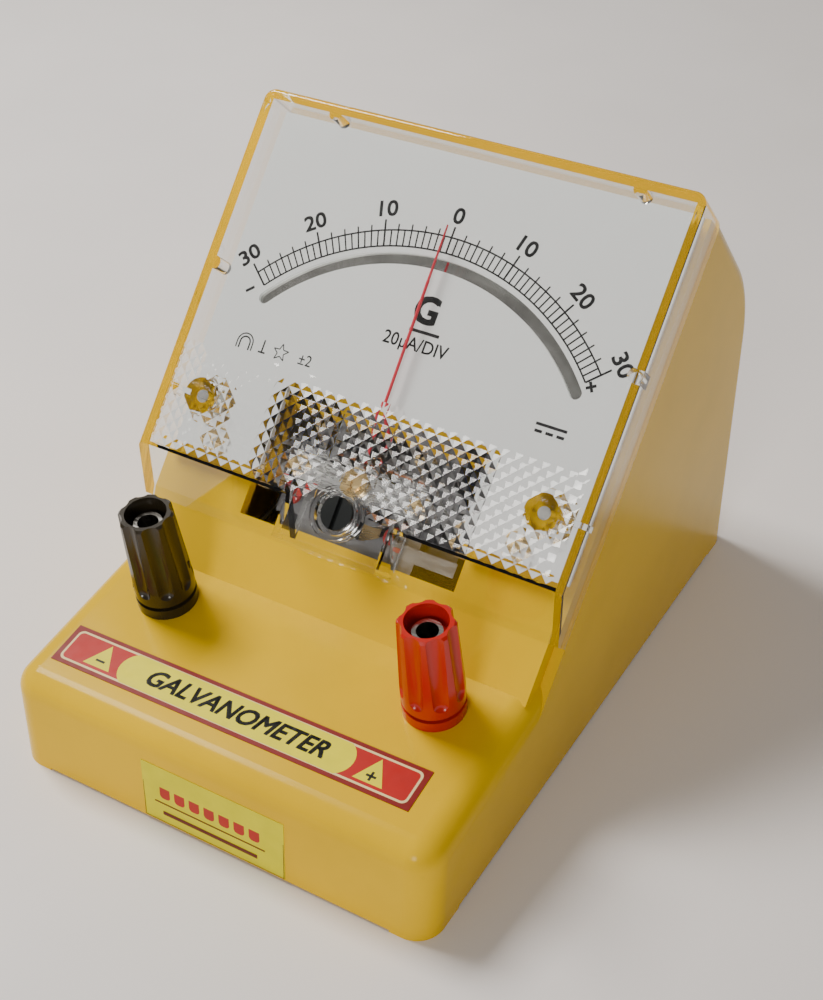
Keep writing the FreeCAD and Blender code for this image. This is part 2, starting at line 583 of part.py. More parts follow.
# ---------------------------------------------------------------- dial
def arc_strip(name, radius, width, sweep, low, high):
    """A flat arc about the pivot with rounded ends; sweep is half its angle."""
    centre = ("0", "pivot_up")
    ring = cut(name + "_ring", rod(name + "_outer", "(%s) + (%s) / 2" % (radius, width), centre, low, high),
               rod(name + "_inner", "(%s) - (%s) / 2" % (radius, width), centre, low, high))
    sector = doc.addObject("Part::Cylinder", name + "_sector")
    stand(sector, centre, low, "z")
    sector.setExpression("Radius", rule("(%s) + (%s)" % (radius, width)))
    sector.setExpression("Height", rule("(%s) - (%s)" % (high, low)))
    sector.setExpression("Angle", rule("2 * (%s)" % sweep))
    sector.setExpression("Placement.Rotation.Angle", rule("90 - (%s)" % sweep))
    ends = [rod("%s_end_%d" % (name, side + 1), "(%s) / 2" % width,
                ("%d * (%s) * sin(%s)" % (side, radius, sweep),
                 "pivot_up + (%s) * cos(%s)" % (radius, sweep)),
                low, high) for side in (-1, 1)]
    return fuse(name, common(name + "_arc", ring, sector), *ends)


def make_dial():
    """The printed plate with its mirror slot, the mirror behind it and two screws."""
    plate = block("dial_blank", ("-dial_width / 2", "dial_width / 2"), ("dial_foot", "dial_head"),
                  ("dial_back", "dial_level"))
    notch = block("dial_notch", ("-notch_width / 2", "notch_width / 2"), ("0", "notch_head"),
                  ("0", "cover_depth"))
    slot = arc_strip("mirror_slot", "mirror_radius", "mirror_slot", "mirror_sweep", "dial_back",
                     "dial_level")
    boss_holes = both_sides("dial_boss_hole", lambda name, side: rod(
        name, "boss_radius + boss_gap", ("%d * boss_x" % side, "boss_up"), "dial_back", "dial_level"))
    screw_holes = both_sides("dial_screw_hole", lambda name, side: rod(
        name, "dial_screw_radius + screw_gap", ("%d * dial_post_x" % side, "dial_post_low"), "dial_back",
        "dial_level"))
    node(cut("dial_plate", plate, notch, slot, *(boss_holes + screw_holes)), "dial_plate", on_panel)
    mirror = arc_strip("mirror_strip", "mirror_radius", "mirror_slot + 2 * mirror_margin",
                       "mirror_sweep + 1",
                       "dial_back - mirror_thick", "dial_back")
    node(mirror, "mirror_strip", on_panel)
    screws = both_sides("dial_screw", lambda name, side: fuse(
        name,
        rod(name + "_shank", "dial_screw_radius", ("%d * dial_post_x" % side, "dial_post_low"),
            "dial_level - dial_screw_length", "dial_level + dial_screw_rise"),
        rod(name + "_head", "dial_screw_head", ("%d * dial_post_x" % side, "dial_post_low"),
            "dial_level", "dial_level + dial_screw_rise")))
    node(group("dial_screws", *screws), "dial_screws", on_panel)


# ---------------------------------------------------------------- movement
PIVOT = ("0", "pivot_up")


def spot(radius, angle):
    """A place on a ring about the pivot; the angle is measured from straight up, to the right."""
    return ("(%s) * sin(%s)" % (radius, angle), "pivot_up + (%s) * cos(%s)" % (radius, angle))


def pole_spots():
    """The four places where screws pass through the pole pieces."""
    angles = ["%d * 90 + %d * pole_screw_angle" % (side, turn) for side in (-1, 1) for turn in (-1, 1)]
    return [spot("pole_screw_ring", angle) for angle in angles]


def bridge_spots():
    """The two places where each bridge is screwed down."""
    return [("%d * (bridge_half - bridge_foot / 2)" % side, "pivot_up") for side in (-1, 1)]


def holes(name, radius, places, low, high):
    """Round holes at several places."""
    return [rod("%s_%d" % (name, i), radius, place, low, high) for i, place in enumerate(places, 1)]


def make_frame():
    """The cross-shaped plate that carries the movement, and the screws that hold it to the case."""
    band = block("frame_across", ("-frame_width / 2", "frame_width / 2"),
                 ("pivot_up - frame_band / 2", "pivot_up + frame_band / 2"), ("frame_back", "frame_top"))
    post = block("frame_along", ("-frame_post / 2", "frame_post / 2"),
                 ("pivot_up - frame_tall / 2", "pivot_up + frame_tall / 2"), ("frame_back", "frame_top"))
    bar = block("frame_bar", ("bar_start", "bar_end"), ("bar_foot", "bar_head"),
                ("frame_top - frame_thick", "frame_top + bar_thick"))
    bore = rod("frame_bore", "frame_bore", PIVOT, "frame_back", "frame_top + bar_thick")
    ears = [("%d * frame_screw_x" % side, "pivot_up") for side in (-1, 1)]
    cuts = holes("ear_hole", "frame_screw_radius + screw_gap", ears, "frame_back", "frame_top")
    cuts += holes("pole_thread", "pole_screw_radius + screw_gap", pole_spots(), "frame_back", "frame_top")
    cuts += holes("bridge_thread", "bridge_screw_radius + screw_gap", bridge_spots(), "frame_back",
                  "frame_top")
    node(cut("movement_frame", fuse("frame_cross", band, post, bar), bore, *cuts), "movement_frame",
         on_panel)
    screws = []
    for i, place in enumerate(ears, 1):
        shank = rod("frame_shank_%d" % i, "frame_screw_radius", place, "frame_back",
                    "seat_wall + frame_screw_grip - screw_gap")
        head = rod("frame_head_%d" % i, "frame_screw_head", place, "frame_back - frame_screw_radius",
                   "frame_back")
        screws.append(fuse("frame_screw_%d" % i, shank, head))
    node(group("movement_screws", *screws), "movement_screws", on_panel)
    stops = holes("stop", "stop_radius", [spot("stop_ring", "%d * stop_angle" % side) for side in (-1, 1)],
                  "frame_top", "stop_top")
    node(group("pointer_stops", *stops), "pointer_stops", on_panel)


def sector(name, radius, start, sweep, low, high):
    """A slice of a disc about the pivot; start is measured anticlockwise from the right."""
    solid = doc.addObject("Part::Cylinder", name)
    stand(solid, PIVOT, low, "z")
    solid.setExpression("Radius", rule(radius))
    solid.setExpression("Height", rule("(%s) - (%s)" % (high, low)))
    solid.setExpression("Angle", rule(sweep))
    solid.setExpression("Placement.Rotation.Angle", rule(start))
    return solid


def make_magnet_circuit():
    """Pole shoes, horseshoe magnet, core, core clamp and back plate."""
    shoes = []
    for i, middle in enumerate(("180", "0"), 1):
        whole = sector("shoe_sector_%d" % i, "pole_radius", middle + " - pole_half_angle",
                       "2 * pole_half_angle", "pole_back", "frame_back")
        gap = rod("shoe_bore_%d" % i, "pole_bore", PIVOT, "pole_back", "frame_back")
        bores = holes("shoe_hole_%d" % i, "pole_screw_radius + screw_gap", pole_spots(), "pole_back",
                      "frame_back")
        shoes.append(cut("shoe_%d" % i, whole, gap, *bores))
    node(group("pole_pieces", *shoes), "pole_pieces", on_panel)

    low = "pole_back + (pole_height - magnet_height) / 2"
    high = "pole_back + (pole_height + magnet_height) / 2"
    bow = sector("magnet_bow", "magnet_radius", "0", "180", low, high)
    legs = [block("magnet_leg_%d" % (side + 2),
                  ("%s" % ("-magnet_radius" if side < 0 else "0"),
                   "%s" % ("0" if side < 0 else "magnet_radius")),
                  ("pivot_up - magnet_drop", "pivot_up"), (low, high)) for side in (-1, 1)]
    inside = rod("magnet_inside", "pole_radius", PIVOT, low, high)
    node(cut("magnet", fuse("magnet_whole", bow, *legs), inside), "magnet", on_panel)

    core = rod("core_rod", "core_radius", PIVOT, "core_top - core_height", "core_top")
    node(group("core_solid", core), "core", on_panel)
    clamp_low = "core_top - (core_height + clamp_depth) / 2"
    bar = block("clamp_bar", ("-clamp_width / 2", "clamp_width / 2"),
                ("pivot_up - clamp_reach", "pivot_up - core_radius / 2"),
                (clamp_low, clamp_low + " + clamp_depth"))
    riser = block("clamp_riser", ("-clamp_width / 2", "clamp_width / 2"),
                  ("pivot_up - clamp_reach", "pivot_up - clamp_reach + clamp_post"),
                  (clamp_low, "frame_back"))
    hollow = rod("clamp_hollow", "core_radius", PIVOT, "pole_back", "frame_back")
    node(cut("core_clamp", fuse("clamp_whole", bar, riser), hollow), "core_clamp", on_panel)

    square = block("back_square", ("-back_plate_half", "back_plate_half"),
                   ("pivot_up - back_plate_half", "pivot_up + back_plate_half"),
                   ("plate_back", "pole_back"))
    cuts = [rod("back_bore", "back_plate_bore", PIVOT, "plate_back", "pole_back")]
    cuts += holes("back_hole", "pole_screw_radius + screw_gap", pole_spots(), "plate_back", "pole_back")
    cuts += holes("back_thread", "bridge_screw_radius + screw_gap", bridge_spots(), "plate_back",
                  "pole_back")
    node(cut("back_plate", square, *cuts), "back_plate", on_panel)
    screws = []
    for i, place in enumerate(pole_spots(), 1):
        shank = rod("pole_shank_%d" % i, "pole_screw_radius", place, "plate_back",
                    "frame_top - frame_thick / 4")
        head = rod("pole_head_%d" % i, "pole_screw_head", place, "plate_back - pole_screw_radius",
                   "plate_back")
        screws.append(fuse("pole_screw_%d" % i, shank, head))
    node(group("pole_screws", *screws), "pole_screws", on_panel)


def make_bridges():
    """The front and rear bridges that hold the jewels, with their screws, jewels and lock nuts."""
    width = ("pivot_up - bridge_width / 2", "pivot_up + bridge_width / 2")
    strips = {"front_bridge": ("front_bridge_level - bridge_thick", "front_bridge_level"),
              "rear_bridge": ("rear_bridge_level", "rear_bridge_level + bridge_thick")}
    ends = {"front_bridge": ("frame_top", "front_bridge_level"),
            "rear_bridge": ("rear_bridge_level", "plate_back")}
    for name, (low, high) in strips.items():
        foot_low, foot_high = ends[name]
        strip = block(name + "_strip", ("-bridge_half", "bridge_half"), width, (low, high))
        feet = both_sides(name + "_foot", lambda tag, side: block(
            tag, ("%d * (bridge_half - bridge_foot / 2) - bridge_foot / 2" % side,
                  "%d * (bridge_half - bridge_foot / 2) + bridge_foot / 2" % side), width,
                  (foot_low, foot_high)))
        cuts = [rod(name + "_eye", "jewel_screw_radius", PIVOT, low, high)]
        cuts += holes(name + "_hole", "bridge_screw_radius + screw_gap", bridge_spots(), foot_low,
                      foot_high)
        whole = fuse(name + "_whole", strip, *feet)
        if name == "rear_bridge":
            pin = rod("rear_anchor", "anchor_radius", ("0", "pivot_up + anchor_ring"), "rear_bridge_level",
                      "rear_spring_level + spring_height / 2")
            shelf = block("rear_shelf", ("-lever_arm / 2", "lever_arm / 2"),
                          ("pivot_up", "pivot_up + anchor_ring + 2 * anchor_radius"), (low, high))
            whole = fuse(name + "_anchored", whole, pin, shelf)
        node(cut(name, whole, *cuts), name, on_panel)

    screws = []
    for i, place in enumerate(bridge_spots(), 1):
        screws.append(fuse(
            "front_screw_%d" % i,
            rod("front_screw_shank_%d" % i, "bridge_screw_radius", place, "frame_back + screw_gap",
                "front_bridge_level"),
            rod("front_screw_head_%d" % i, "bridge_screw_head", place, "front_bridge_level",
                "front_bridge_level + bridge_screw_radius")))
        screws.append(fuse(
            "rear_screw_%d" % i,
            rod("rear_screw_shank_%d" % i, "bridge_screw_radius", place, "rear_bridge_level",
                "pole_back - screw_gap"),
            rod("rear_screw_head_%d" % i, "bridge_screw_head", place,
                "rear_bridge_level - bridge_screw_radius",
                "rear_bridge_level")))
    node(group("bridge_screws", *screws), "bridge_screws", on_panel)

    front = rod("front_jewel_rod", "jewel_screw_radius", PIVOT, "jewel_screw_foot", "jewel_screw_top")
    front_slot = block("front_jewel_slot", ("-jewel_slot / 2", "jewel_slot / 2"),
                       ("pivot_up - jewel_screw_radius", "pivot_up + jewel_screw_radius"),
                       ("jewel_screw_top - jewel_slot", "jewel_screw_top"))
    front_seat = rod("front_jewel_seat", "jewel_radius", PIVOT, "jewel_screw_foot",
                     "jewel_screw_foot + jewel_depth")
    node(cut("front_jewel_screw", front, front_slot, front_seat), "front_jewel_screw", on_panel)
    tail = "(rear_bridge_level - 2 * nut_thick)"
    rear = rod("rear_jewel_rod", "jewel_screw_radius", PIVOT, tail, "rear_screw_nose")
    rear_slot = block("rear_jewel_slot", ("-jewel_slot / 2", "jewel_slot / 2"),
                      ("pivot_up - jewel_screw_radius", "pivot_up + jewel_screw_radius"),
                      (tail, tail + " + jewel_slot"))
    rear_seat = rod("rear_jewel_seat", "jewel_radius", PIVOT, "rear_screw_nose - jewel_depth",
                    "rear_screw_nose")
    node(cut("rear_jewel_screw", rear, rear_slot, rear_seat), "rear_jewel_screw", on_panel)

    front_jewel = cut("front_jewel",
                      rod("front_stone", "jewel_radius", PIVOT, "jewel_screw_foot",
                          "jewel_screw_foot + jewel_depth"),
                      cone("front_cup", "jewel_radius - tip_gap", "2 * staff_tip", PIVOT,
                           "jewel_screw_foot",
                           "jewel_screw_foot + cup_depth"))
    rear_jewel = cut("rear_jewel",
                     rod("rear_stone", "jewel_radius", PIVOT, "rear_screw_nose - jewel_depth",
                         "rear_screw_nose"),
                     cone("rear_cup", "2 * staff_tip", "jewel_radius - tip_gap", PIVOT,
                          "rear_screw_nose - cup_depth", "rear_screw_nose"))
    node(group("jewels", front_jewel, rear_jewel), "jewels", on_panel)

    nuts = []
    for name, low in (("front_nut", "nut_level"), ("rear_nut", "rear_bridge_level - nut_thick")):
        nuts.append(cut(name, rod(name + "_disc", "nut_radius + nut_thick", PIVOT, low,
                                  low + " + nut_thick"),
                        rod(name + "_bore", "jewel_screw_radius", PIVOT, low, low + " + nut_thick")))
    node(group("lock_nuts", *nuts), "lock_nuts", on_panel)


def make_zero_lever():
    """The lever that turns the outer end of the front hairspring: ring, fork and spring anchor."""
    low, high = "lever_level", "lever_level + lever_thick"
    ring = rod("lever_disc", "lever_ring", PIVOT, low, high)
    arm = block("lever_arm_down", ("-lever_arm / 2", "lever_arm / 2"),
                ("pivot_up - lever_reach - 2 * pin_radius", "pivot_up"), (low, high))
    fork = block("lever_fork", ("-pin_radius - fork_gap", "pin_radius + fork_gap"),
                 ("0", "pivot_up - lever_reach + 2 * pin_radius"), (low, high))
    finger = block("lever_finger", ("-lever_arm / 4", "lever_arm / 4"),
                   ("pivot_up", "pivot_up + anchor_ring + 2 * anchor_radius"), (low, high))
    pin = rod("lever_anchor", "anchor_radius", ("0", "pivot_up + anchor_ring"), "anchor_foot", low)
    bore = rod("lever_bore", "jewel_screw_radius + lever_gap", PIVOT, low, high)
    node(cut("zero_lever", fuse("lever_whole", ring, arm, finger, pin), fork, bore), "zero_lever", on_panel)


# ---------------------------------------------------------------- moving coil
def loop(name, half, band, top, foot, thick):
    """A rectangular loop round the core, of one thickness."""
    band_span = ("pivot_up - (%s) / 2" % band, "pivot_up + (%s) / 2" % band)
    outer = block(name + "_outer", ("-(%s)" % half, half), band_span, (foot, top))
    inner = block(name + "_inner", ("-(%s) + (%s)" % (half, thick), "(%s) - (%s)" % (half, thick)),
                  band_span,
                  ("(%s) + (%s)" % (foot, thick), "(%s) - (%s)" % (top, thick)))
    return cut(name, outer, inner)


def spiral(name, level):
    """A flat hairspring of half-circle arcs; its outer end points up the panel."""
    start, pitch, strip = value("spring_start"), value("spring_pitch"), value("spring_strip")
    half_turns = int(round(2 * value("spring_turns")))

    def arcs(offset):
        """The arcs of one edge of the strip, from the middle outwards."""
        edges = []
        for i in range(half_turns):
            side = 1 if i % 2 == 0 else -1
            centre = Vector(0, 0 if side > 0 else pitch / 2, 0)
            radius = start + i * pitch / 2 + offset
            ends = [centre + Vector(0, side * radius, 0), centre - Vector(0, side * radius, 0)]
            edges.append(Part.Arc(ends[0], centre - Vector(side * radius, 0, 0), ends[1]).toShape())
        return edges

    inner, outer = arcs(-strip / 2), arcs(strip / 2)
    caps = [Part.makeLine(inner[0].Vertexes[0].Point, outer[0].Vertexes[0].Point),
            Part.makeLine(inner[-1].Vertexes[-1].Point, outer[-1].Vertexes[-1].Point)]
    face = Part.Face(Part.Wire(Part.__sortEdges__(inner + outer + caps)))
    solid = doc.addObject("Part::Feature", name)
    height = value("spring_height")
    solid.Shape = face.extrude(Vector(0, 0, height))
    solid.setExpression("Placement.Base.y", rule("pivot_up"))
    solid.setExpression("Placement.Base.z", rule("%s - spring_height / 2" % level))
    return solid


def make_moving_coil():
    """Everything that turns with the needle except the needle itself."""
    former_half = "coil_half - coil_thick"
    node(loop("coil_winding", "coil_half", "coil_band", "coil_top", "coil_foot", "coil_thick"),
         "coil_winding", on_panel)
    node(loop("coil_former", former_half, "former_band", "coil_top - coil_thick", "coil_foot + coil_thick",
              "former_thick"), "coil_former", on_panel)

    rod_end = "(jewel_screw_foot + staff_entry - staff_cone)"
    front = fuse("front_staff",
                 rod("front_staff_base", "staff_base", PIVOT, "coil_top", "coil_top + former_thick"),
                 rod("front_staff_rod", "staff_radius", PIVOT, "coil_top", rod_end),
                 rod("front_collet", "spring_start - spring_strip / 2", PIVOT, "hub_level + hub_height",
                     rod_end),
                 cone("front_staff_tip", "staff_radius", "staff_tip", PIVOT, rod_end,
                      "jewel_screw_foot + staff_entry"))
    rear_end = "(rear_screw_nose - staff_entry + staff_cone)"
    rear = fuse("rear_staff",
                rod("rear_staff_base", "staff_base", PIVOT, "coil_foot - former_thick", "coil_foot"),
                rod("rear_staff_rod", "staff_radius", PIVOT, rear_end, "coil_foot"),
                rod("rear_collet", "spring_start - spring_strip / 2", PIVOT, rear_end,
                    "rear_spring_level + spring_height / 2"),
                cone("rear_staff_tip", "staff_tip", "staff_radius", PIVOT,
                     "rear_screw_nose - staff_entry", rear_end))
    node(group("pivot_staffs", front, rear), "pivot_staffs", on_panel)

    node(group("front_hairspring_whole", spiral("front_spiral", "spring_level")), "front_hairspring",
         on_panel)
    node(group("rear_hairspring_whole", spiral("rear_spiral", "rear_spring_level")), "rear_hairspring",
         on_panel)

    hub = cut("hub", rod("hub_disc", "hub_radius", PIVOT, "hub_level", "hub_level + hub_height"),
              rod("hub_bore", "staff_radius", PIVOT, "hub_level", "hub_level + hub_height"))
    arms = [block("tail_arm", ("-arm_width / 2", "arm_width / 2"), ("pivot_up - tail_length", "pivot_up"),
                  ("arm_level - arm_thick / 2", "arm_level + arm_thick / 2")),
            block("side_arms", ("-side_length", "side_length"),
                  ("pivot_up - arm_width / 2", "pivot_up + arm_width / 2"),
                  ("arm_level - arm_thick / 2", "arm_level + arm_thick / 2"))]
    clear = rod("arm_bore", "staff_radius", PIVOT, "hub_level", "hub_level + hub_height")
    node(cut("balance_arms", fuse("arms_and_hub", hub, *arms), clear), "balance_arms", on_panel)
    core = block("tail_core", ("-arm_width / 2", "arm_width / 2"), ("pivot_up - tail_length", "pivot_up"),
                 ("arm_level - arm_thick / 2", "arm_level + arm_thick / 2"))
    cross = block("side_core", ("-side_length", "side_length"),
                  ("pivot_up - arm_width / 2", "pivot_up + arm_width / 2"),
                  ("arm_level - arm_thick / 2", "arm_level + arm_thick / 2"))
    weights = [cut("tail_weight", rod("tail_weight_rod", "weight_radius", ("0", "arm_level"),
                                      "pivot_up - tail_length", "pivot_up - tail_length + weight_length",
                                      "y"), core)]
    weights += both_sides("side_weight", lambda name, side: cut(
        name, rod(name + "_rod", "weight_radius", ("pivot_up", "arm_level"),
                  "%d * (side_length - weight_length / 2) - weight_length / 2" % side,
                  "%d * (side_length - weight_length / 2) + weight_length / 2" % side, "x"), cross))
    node(group("balance_weights", *weights), "balance_weights", on_panel)


def make_pointer():
    """The tubular needle: low over the movement, then up and along over the dial to a flat blade."""
    low, high = value("arm_level"), value("needle_level")
    radius = value("needle_radius")
    start = Vector(0, value("hub_radius") + value("lever_gap"), low)
    rise = Vector(0, value("needle_rise_from"), low)
    level = Vector(0, value("needle_rise_to"), high)
    blade = Vector(0, value("needle_tip") - value("needle_blade"), high)
    path = Part.makePolygon([start, rise, level, blade])
    tube = Part.Wire([Part.makeCircle(radius, start, Vector(0, 1, 0))])
    stem = Part.Wire(path.Edges).makePipeShell([tube], True, False, 2)
    tip = Vector(0, value("needle_tip"), high)
    half = radius / 2
    corners = [Vector(-half, blade.y, high - radius), Vector(half, blade.y, high - radius),
               Vector(half / 4, tip.y, high - radius), Vector(-half / 4, tip.y, high - radius)]
    flat = Part.Face(Part.makePolygon(corners + corners[:1])).extrude(Vector(0, 0, 2 * radius))
    needle = doc.addObject("Part::Feature", "needle")
    needle.Shape = stem.fuse(flat).removeSplitter()
    needle.Placement = FreeCAD.Placement(Vector(), FreeCAD.Rotation(Vector(0, 0, 1), 1))
    needle.setExpression("Placement.Rotation.Angle", rule("needle_rest"))
    needle.setExpression("Placement.Base.y", rule("pivot_up"))
    node(group("pointer_whole", needle), "pointer", on_panel)


# ---------------------------------------------------------------- binding posts
def make_post(word, side):
    """One binding post: insulating flange, metal stem with its socket, clamp washer and fluted cap."""
    axis = ("0", "0")
    flange = rod(word + "_flange", "flange_radius", axis, "0", "flange_height")
    neck = rod(word + "_neck", "neck_radius", axis, "-wall", "0")
    bore = rod(word + "_base_bore", "stud_radius", axis, "-wall", "flange_height")
    node(cut(word + "_base_whole", fuse(word + "_base_solid", flange, neck), bore),
         word + "_terminal_base", on_deck, side)

    disc = rod(word + "_washer_disc", "washer_radius", axis, "flange_height + cap_gap",
               "flange_height + cap_gap + washer_thick")
    eye = rod(word + "_washer_eye", "stem_radius + stem_gap", axis, "flange_height", "cap_foot")
    node(cut(word + "_washer_whole", disc, eye), word + "_clamp_washer", on_deck, side)

    skirt_top = "(cap_foot + cap_skirt)"
    skirt = rod(word + "_skirt", "cap_foot_radius", axis, "cap_foot", skirt_top)
    grip = cone(word + "_grip", "cap_foot_radius", "cap_top_radius", axis, skirt_top,
                "cap_top - cap_chamfer")
    crown = cone(word + "_crown", "cap_top_radius", "cap_top_radius - cap_chamfer", axis,
                 "cap_top - cap_chamfer", "cap_top")
    flutes = []
    count = int(round(value("flute_count")))
    for i in range(count):
        turn = "(%d * 360 / flute_count)" % i
        place = ("flute_ring * cos%s" % turn, "flute_ring * sin%s" % turn)
        flutes.append(cone("%s_flute_%d" % (word, i + 1), "flute_radius",
                           "flute_radius + cap_foot_radius - cap_top_radius", place, skirt_top, "cap_top"))
        flutes.append(ball("%s_flute_end_%d" % (word, i + 1), "flute_radius", place, skirt_top))
    well = rod(word + "_well", "cap_mouth", axis, "cap_foot", "cap_foot + cap_well")
    through = rod(word + "_cap_bore", "stem_radius + stem_gap", axis, "cap_foot", "cap_top")
    recess = rod(word + "_cap_recess", "cap_recess", axis, "cap_top - cap_recess_depth", "cap_top")
    node(cut(word + "_cap_whole", fuse(word + "_cap_solid", skirt, grip, crown), well, through, recess,
             *flutes),
         word + "_cap", on_deck, side)

    tube = rod(word + "_tube", "stem_radius", axis, "flange_height", "stem_top")
    stud = rod(word + "_stud", "stud_radius", axis, "flange_height - stud_length", "flange_height")
    socket = rod(word + "_socket", "socket_radius", axis, "stem_top - socket_depth", "stem_top")
    node(cut(word + "_stem_whole", fuse(word + "_stem_solid", tube, stud), socket), word + "_stem",
         on_deck, side)


def pair_on_deck(name, maker):
    """The same solid below each binding post, kept in one sub-part."""
    solids = []
    for word, side in (("black", -1), ("red", 1)):
        solid = maker(name + "_" + word)
        on_deck(solid, side)
        solids.append(solid)
    node(group(name + "_pair", *solids), name)


def make_post_hardware():
    """The insulators, nuts and solder tags under the deck."""
    axis = ("0", "0")
    inner = "-wall - insulator_thick"
    pair_on_deck("post_insulators", lambda name: cut(
        name, rod(name + "_disc", "insulator_radius", axis, inner, "-wall"),
        rod(name + "_eye", "stud_radius", axis, inner, "-wall")))
    pair_on_deck("solder_tags", lambda name: cut(
        name, fuse(name + "_plate", rod(name + "_ring", "tag_radius", axis, "tag_level", inner),
                   block(name + "_tongue", ("-tag_width / 2", "tag_width / 2"), ("0", "tag_reach"),
                         ("tag_level", inner))),
        rod(name + "_eye", "stud_radius", axis, "tag_level", inner)))

    def nut(name):
        """A hexagon nut on the stud."""
        solid = doc.addObject("Part::Prism", name + "_hexagon")
        solid.Polygon = 6
        solid.setExpression("Circumradius", rule("nut_across / 2 / cos(30)"))
        solid.setExpression("Height", rule("nut_height"))
        solid.setExpression("Placement.Base.z", rule("tag_level - nut_height"))
        return cut(name, solid, rod(name + "_eye", "stud_radius", axis, "tag_level - nut_height",
                                    "tag_level"))

    pair_on_deck("post_nuts", nut)


# ---------------------------------------------------------------- leads
def panel_point(x, up, out):
    """A point of the panel frame in the frame of the whole instrument."""
    turn = math.radians(value("panel_angle"))
    return Vector(x, value("panel_y") + up * math.cos(turn) - out * math.sin(turn),
                  value("panel_z") + up * math.sin(turn) + out * math.cos(turn))


def deck_point(x, up, out):
    """A point of the deck frame in the frame of the whole instrument."""
    turn = math.radians(value("deck_slope"))
    return Vector(x, value("front_y") + up * math.cos(turn) - out * math.sin(turn),
                  value("front_height") + up * math.sin(turn) + out * math.cos(turn))


def rounded_path(points, radius):
    """Straight runs through the points with tangent arcs at the bends."""
    edges = []
    start = points[0]
    for before, corner, after in zip(points, points[1:], points[2:]):
        back = (before - corner).normalize()
        ahead = (after - corner).normalize()
        half = back.getAngle(ahead) / 2
        reach = radius / math.tan(half)
        first, last = corner + back * reach, corner + ahead * reach
        middle = corner + (back + ahead).normalize() * (radius / math.sin(half) - radius)
        edges.append(Part.makeLine(start, first))
        edges.append(Part.Arc(first, middle, last).toShape())
        start = last
    edges.append(Part.makeLine(start, points[-1]))
    return Part.Wire(edges)


def make_leads():
    """The two lugs on the movement frame and the insulated wires to the binding posts."""
    lugs = both_sides("lug", lambda name, side: block(
        name, ("%d * lug_x - lug_width / 2" % side, "%d * lug_x + lug_width / 2" % side),
        ("lug_foot", "lug_foot + 2 * lug_width"), ("frame_top", "frame_top + lug_thick")))
    node(group("movement_lugs", *lugs), "movement_lugs", on_panel)
    radius = value("lead_radius")
    under_lug = value("frame_top") - radius
    under_tag = value("tag_level") - radius
    for word, side in (("black", -1), ("red", 1)):
        start = panel_point(side * value("lug_x"), value("lug_foot") + value("lug_thick"), under_lug)
        inward = panel_point(side * value("lug_x"), value("lug_foot") + value("lug_thick"),
                             under_lug - value("lead_drop"))
        tag = value("post_up") + value("tag_reach") - value("lug_width")
        behind = deck_point(side * value("post_x"), tag + value("lead_drop"), under_tag)
        end = deck_point(side * value("post_x"), tag, under_tag)
        path = rounded_path([start, inward, behind, end], value("lead_bend"))
        ring = Part.Wire([Part.makeCircle(radius, start, inward - start)])
        lead = doc.addObject("Part::Feature", word + "_lead")
        lead.Shape = path.makePipeShell([ring], True, False)
        node(lead, word + "_lead")


# ---------------------------------------------------------------- labels
def make_labels():
    """The printed strip across the deck and the plain sticker on the front face."""
    strip = block("strip", ("-label_length / 2", "label_length / 2"),
                  ("-label_width / 2", "label_width / 2"),
                  ("0", "label_thick"))
    turned = group("strip_turned", strip)
    turned.Placement = FreeCAD.Placement(Vector(), FreeCAD.Rotation(Vector(0, 0, 1), 1))
    turned.setExpression("Placement.Rotation.Angle", rule("label_turn"))
    turned.setExpression("Placement.Base.x", rule("label_shift"))
    turned.setExpression("Placement.Base.y", rule("label_up + label_width / 2"))
    node(group("strip_on_deck", turned), "label_strip", on_deck)
    sticker = block("sticker", ("sticker_shift - sticker_width / 2", "sticker_shift + sticker_width / 2"),
                    ("sticker_level", "sticker_level + sticker_height"), ("0", "label_thick"))
    front = node(group("sticker_on_front", sticker), "front_sticker")
    front.Placement = FreeCAD.Placement(Vector(0, 1, 0), FreeCAD.Rotation(Vector(1, 0, 0), 80))
    front.setExpression("Placement.Rotation.Angle", rule("90 - front_lean"))
    front.setExpression("Placement.Base.y", rule("front_y"))


# ---------------------------------------------------------------- build and write
make_case()
make_base()
make_cover()
make_adjuster()
make_dial()
make_frame()
make_magnet_circuit()
make_bridges()
make_zero_lever()
make_moving_coil()
make_pointer()
make_post("black", -1)
make_post("red", 1)
make_post_hardware()
make_leads()
make_labels()
doc.recompute()

for thing in doc.Objects:
    if "Invalid" in thing.State or "Error" in thing.State:
        raise RuntimeError("%s (%s) did not build: %s" % (thing.Name, thing.Label, thing.State))
os.makedirs("parts", exist_ok=True)
for thing in NODES:
    shape = thing.Shape
    if shape.isNull() or not shape.isValid() or not shape.Solids:
        raise RuntimeError("%s has no valid solid" % thing.Label)
    shape.exportStep("parts/%s.step" % thing.Label)
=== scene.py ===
"""Desk-stand galvanometer: finishes, printed dial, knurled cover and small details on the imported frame."""
import json
import logging
import math
from dataclasses import dataclass, field
from enum import Enum
from typing import Iterable, Optional, Sequence

import bmesh
import bpy
from mathutils import Matrix, Vector


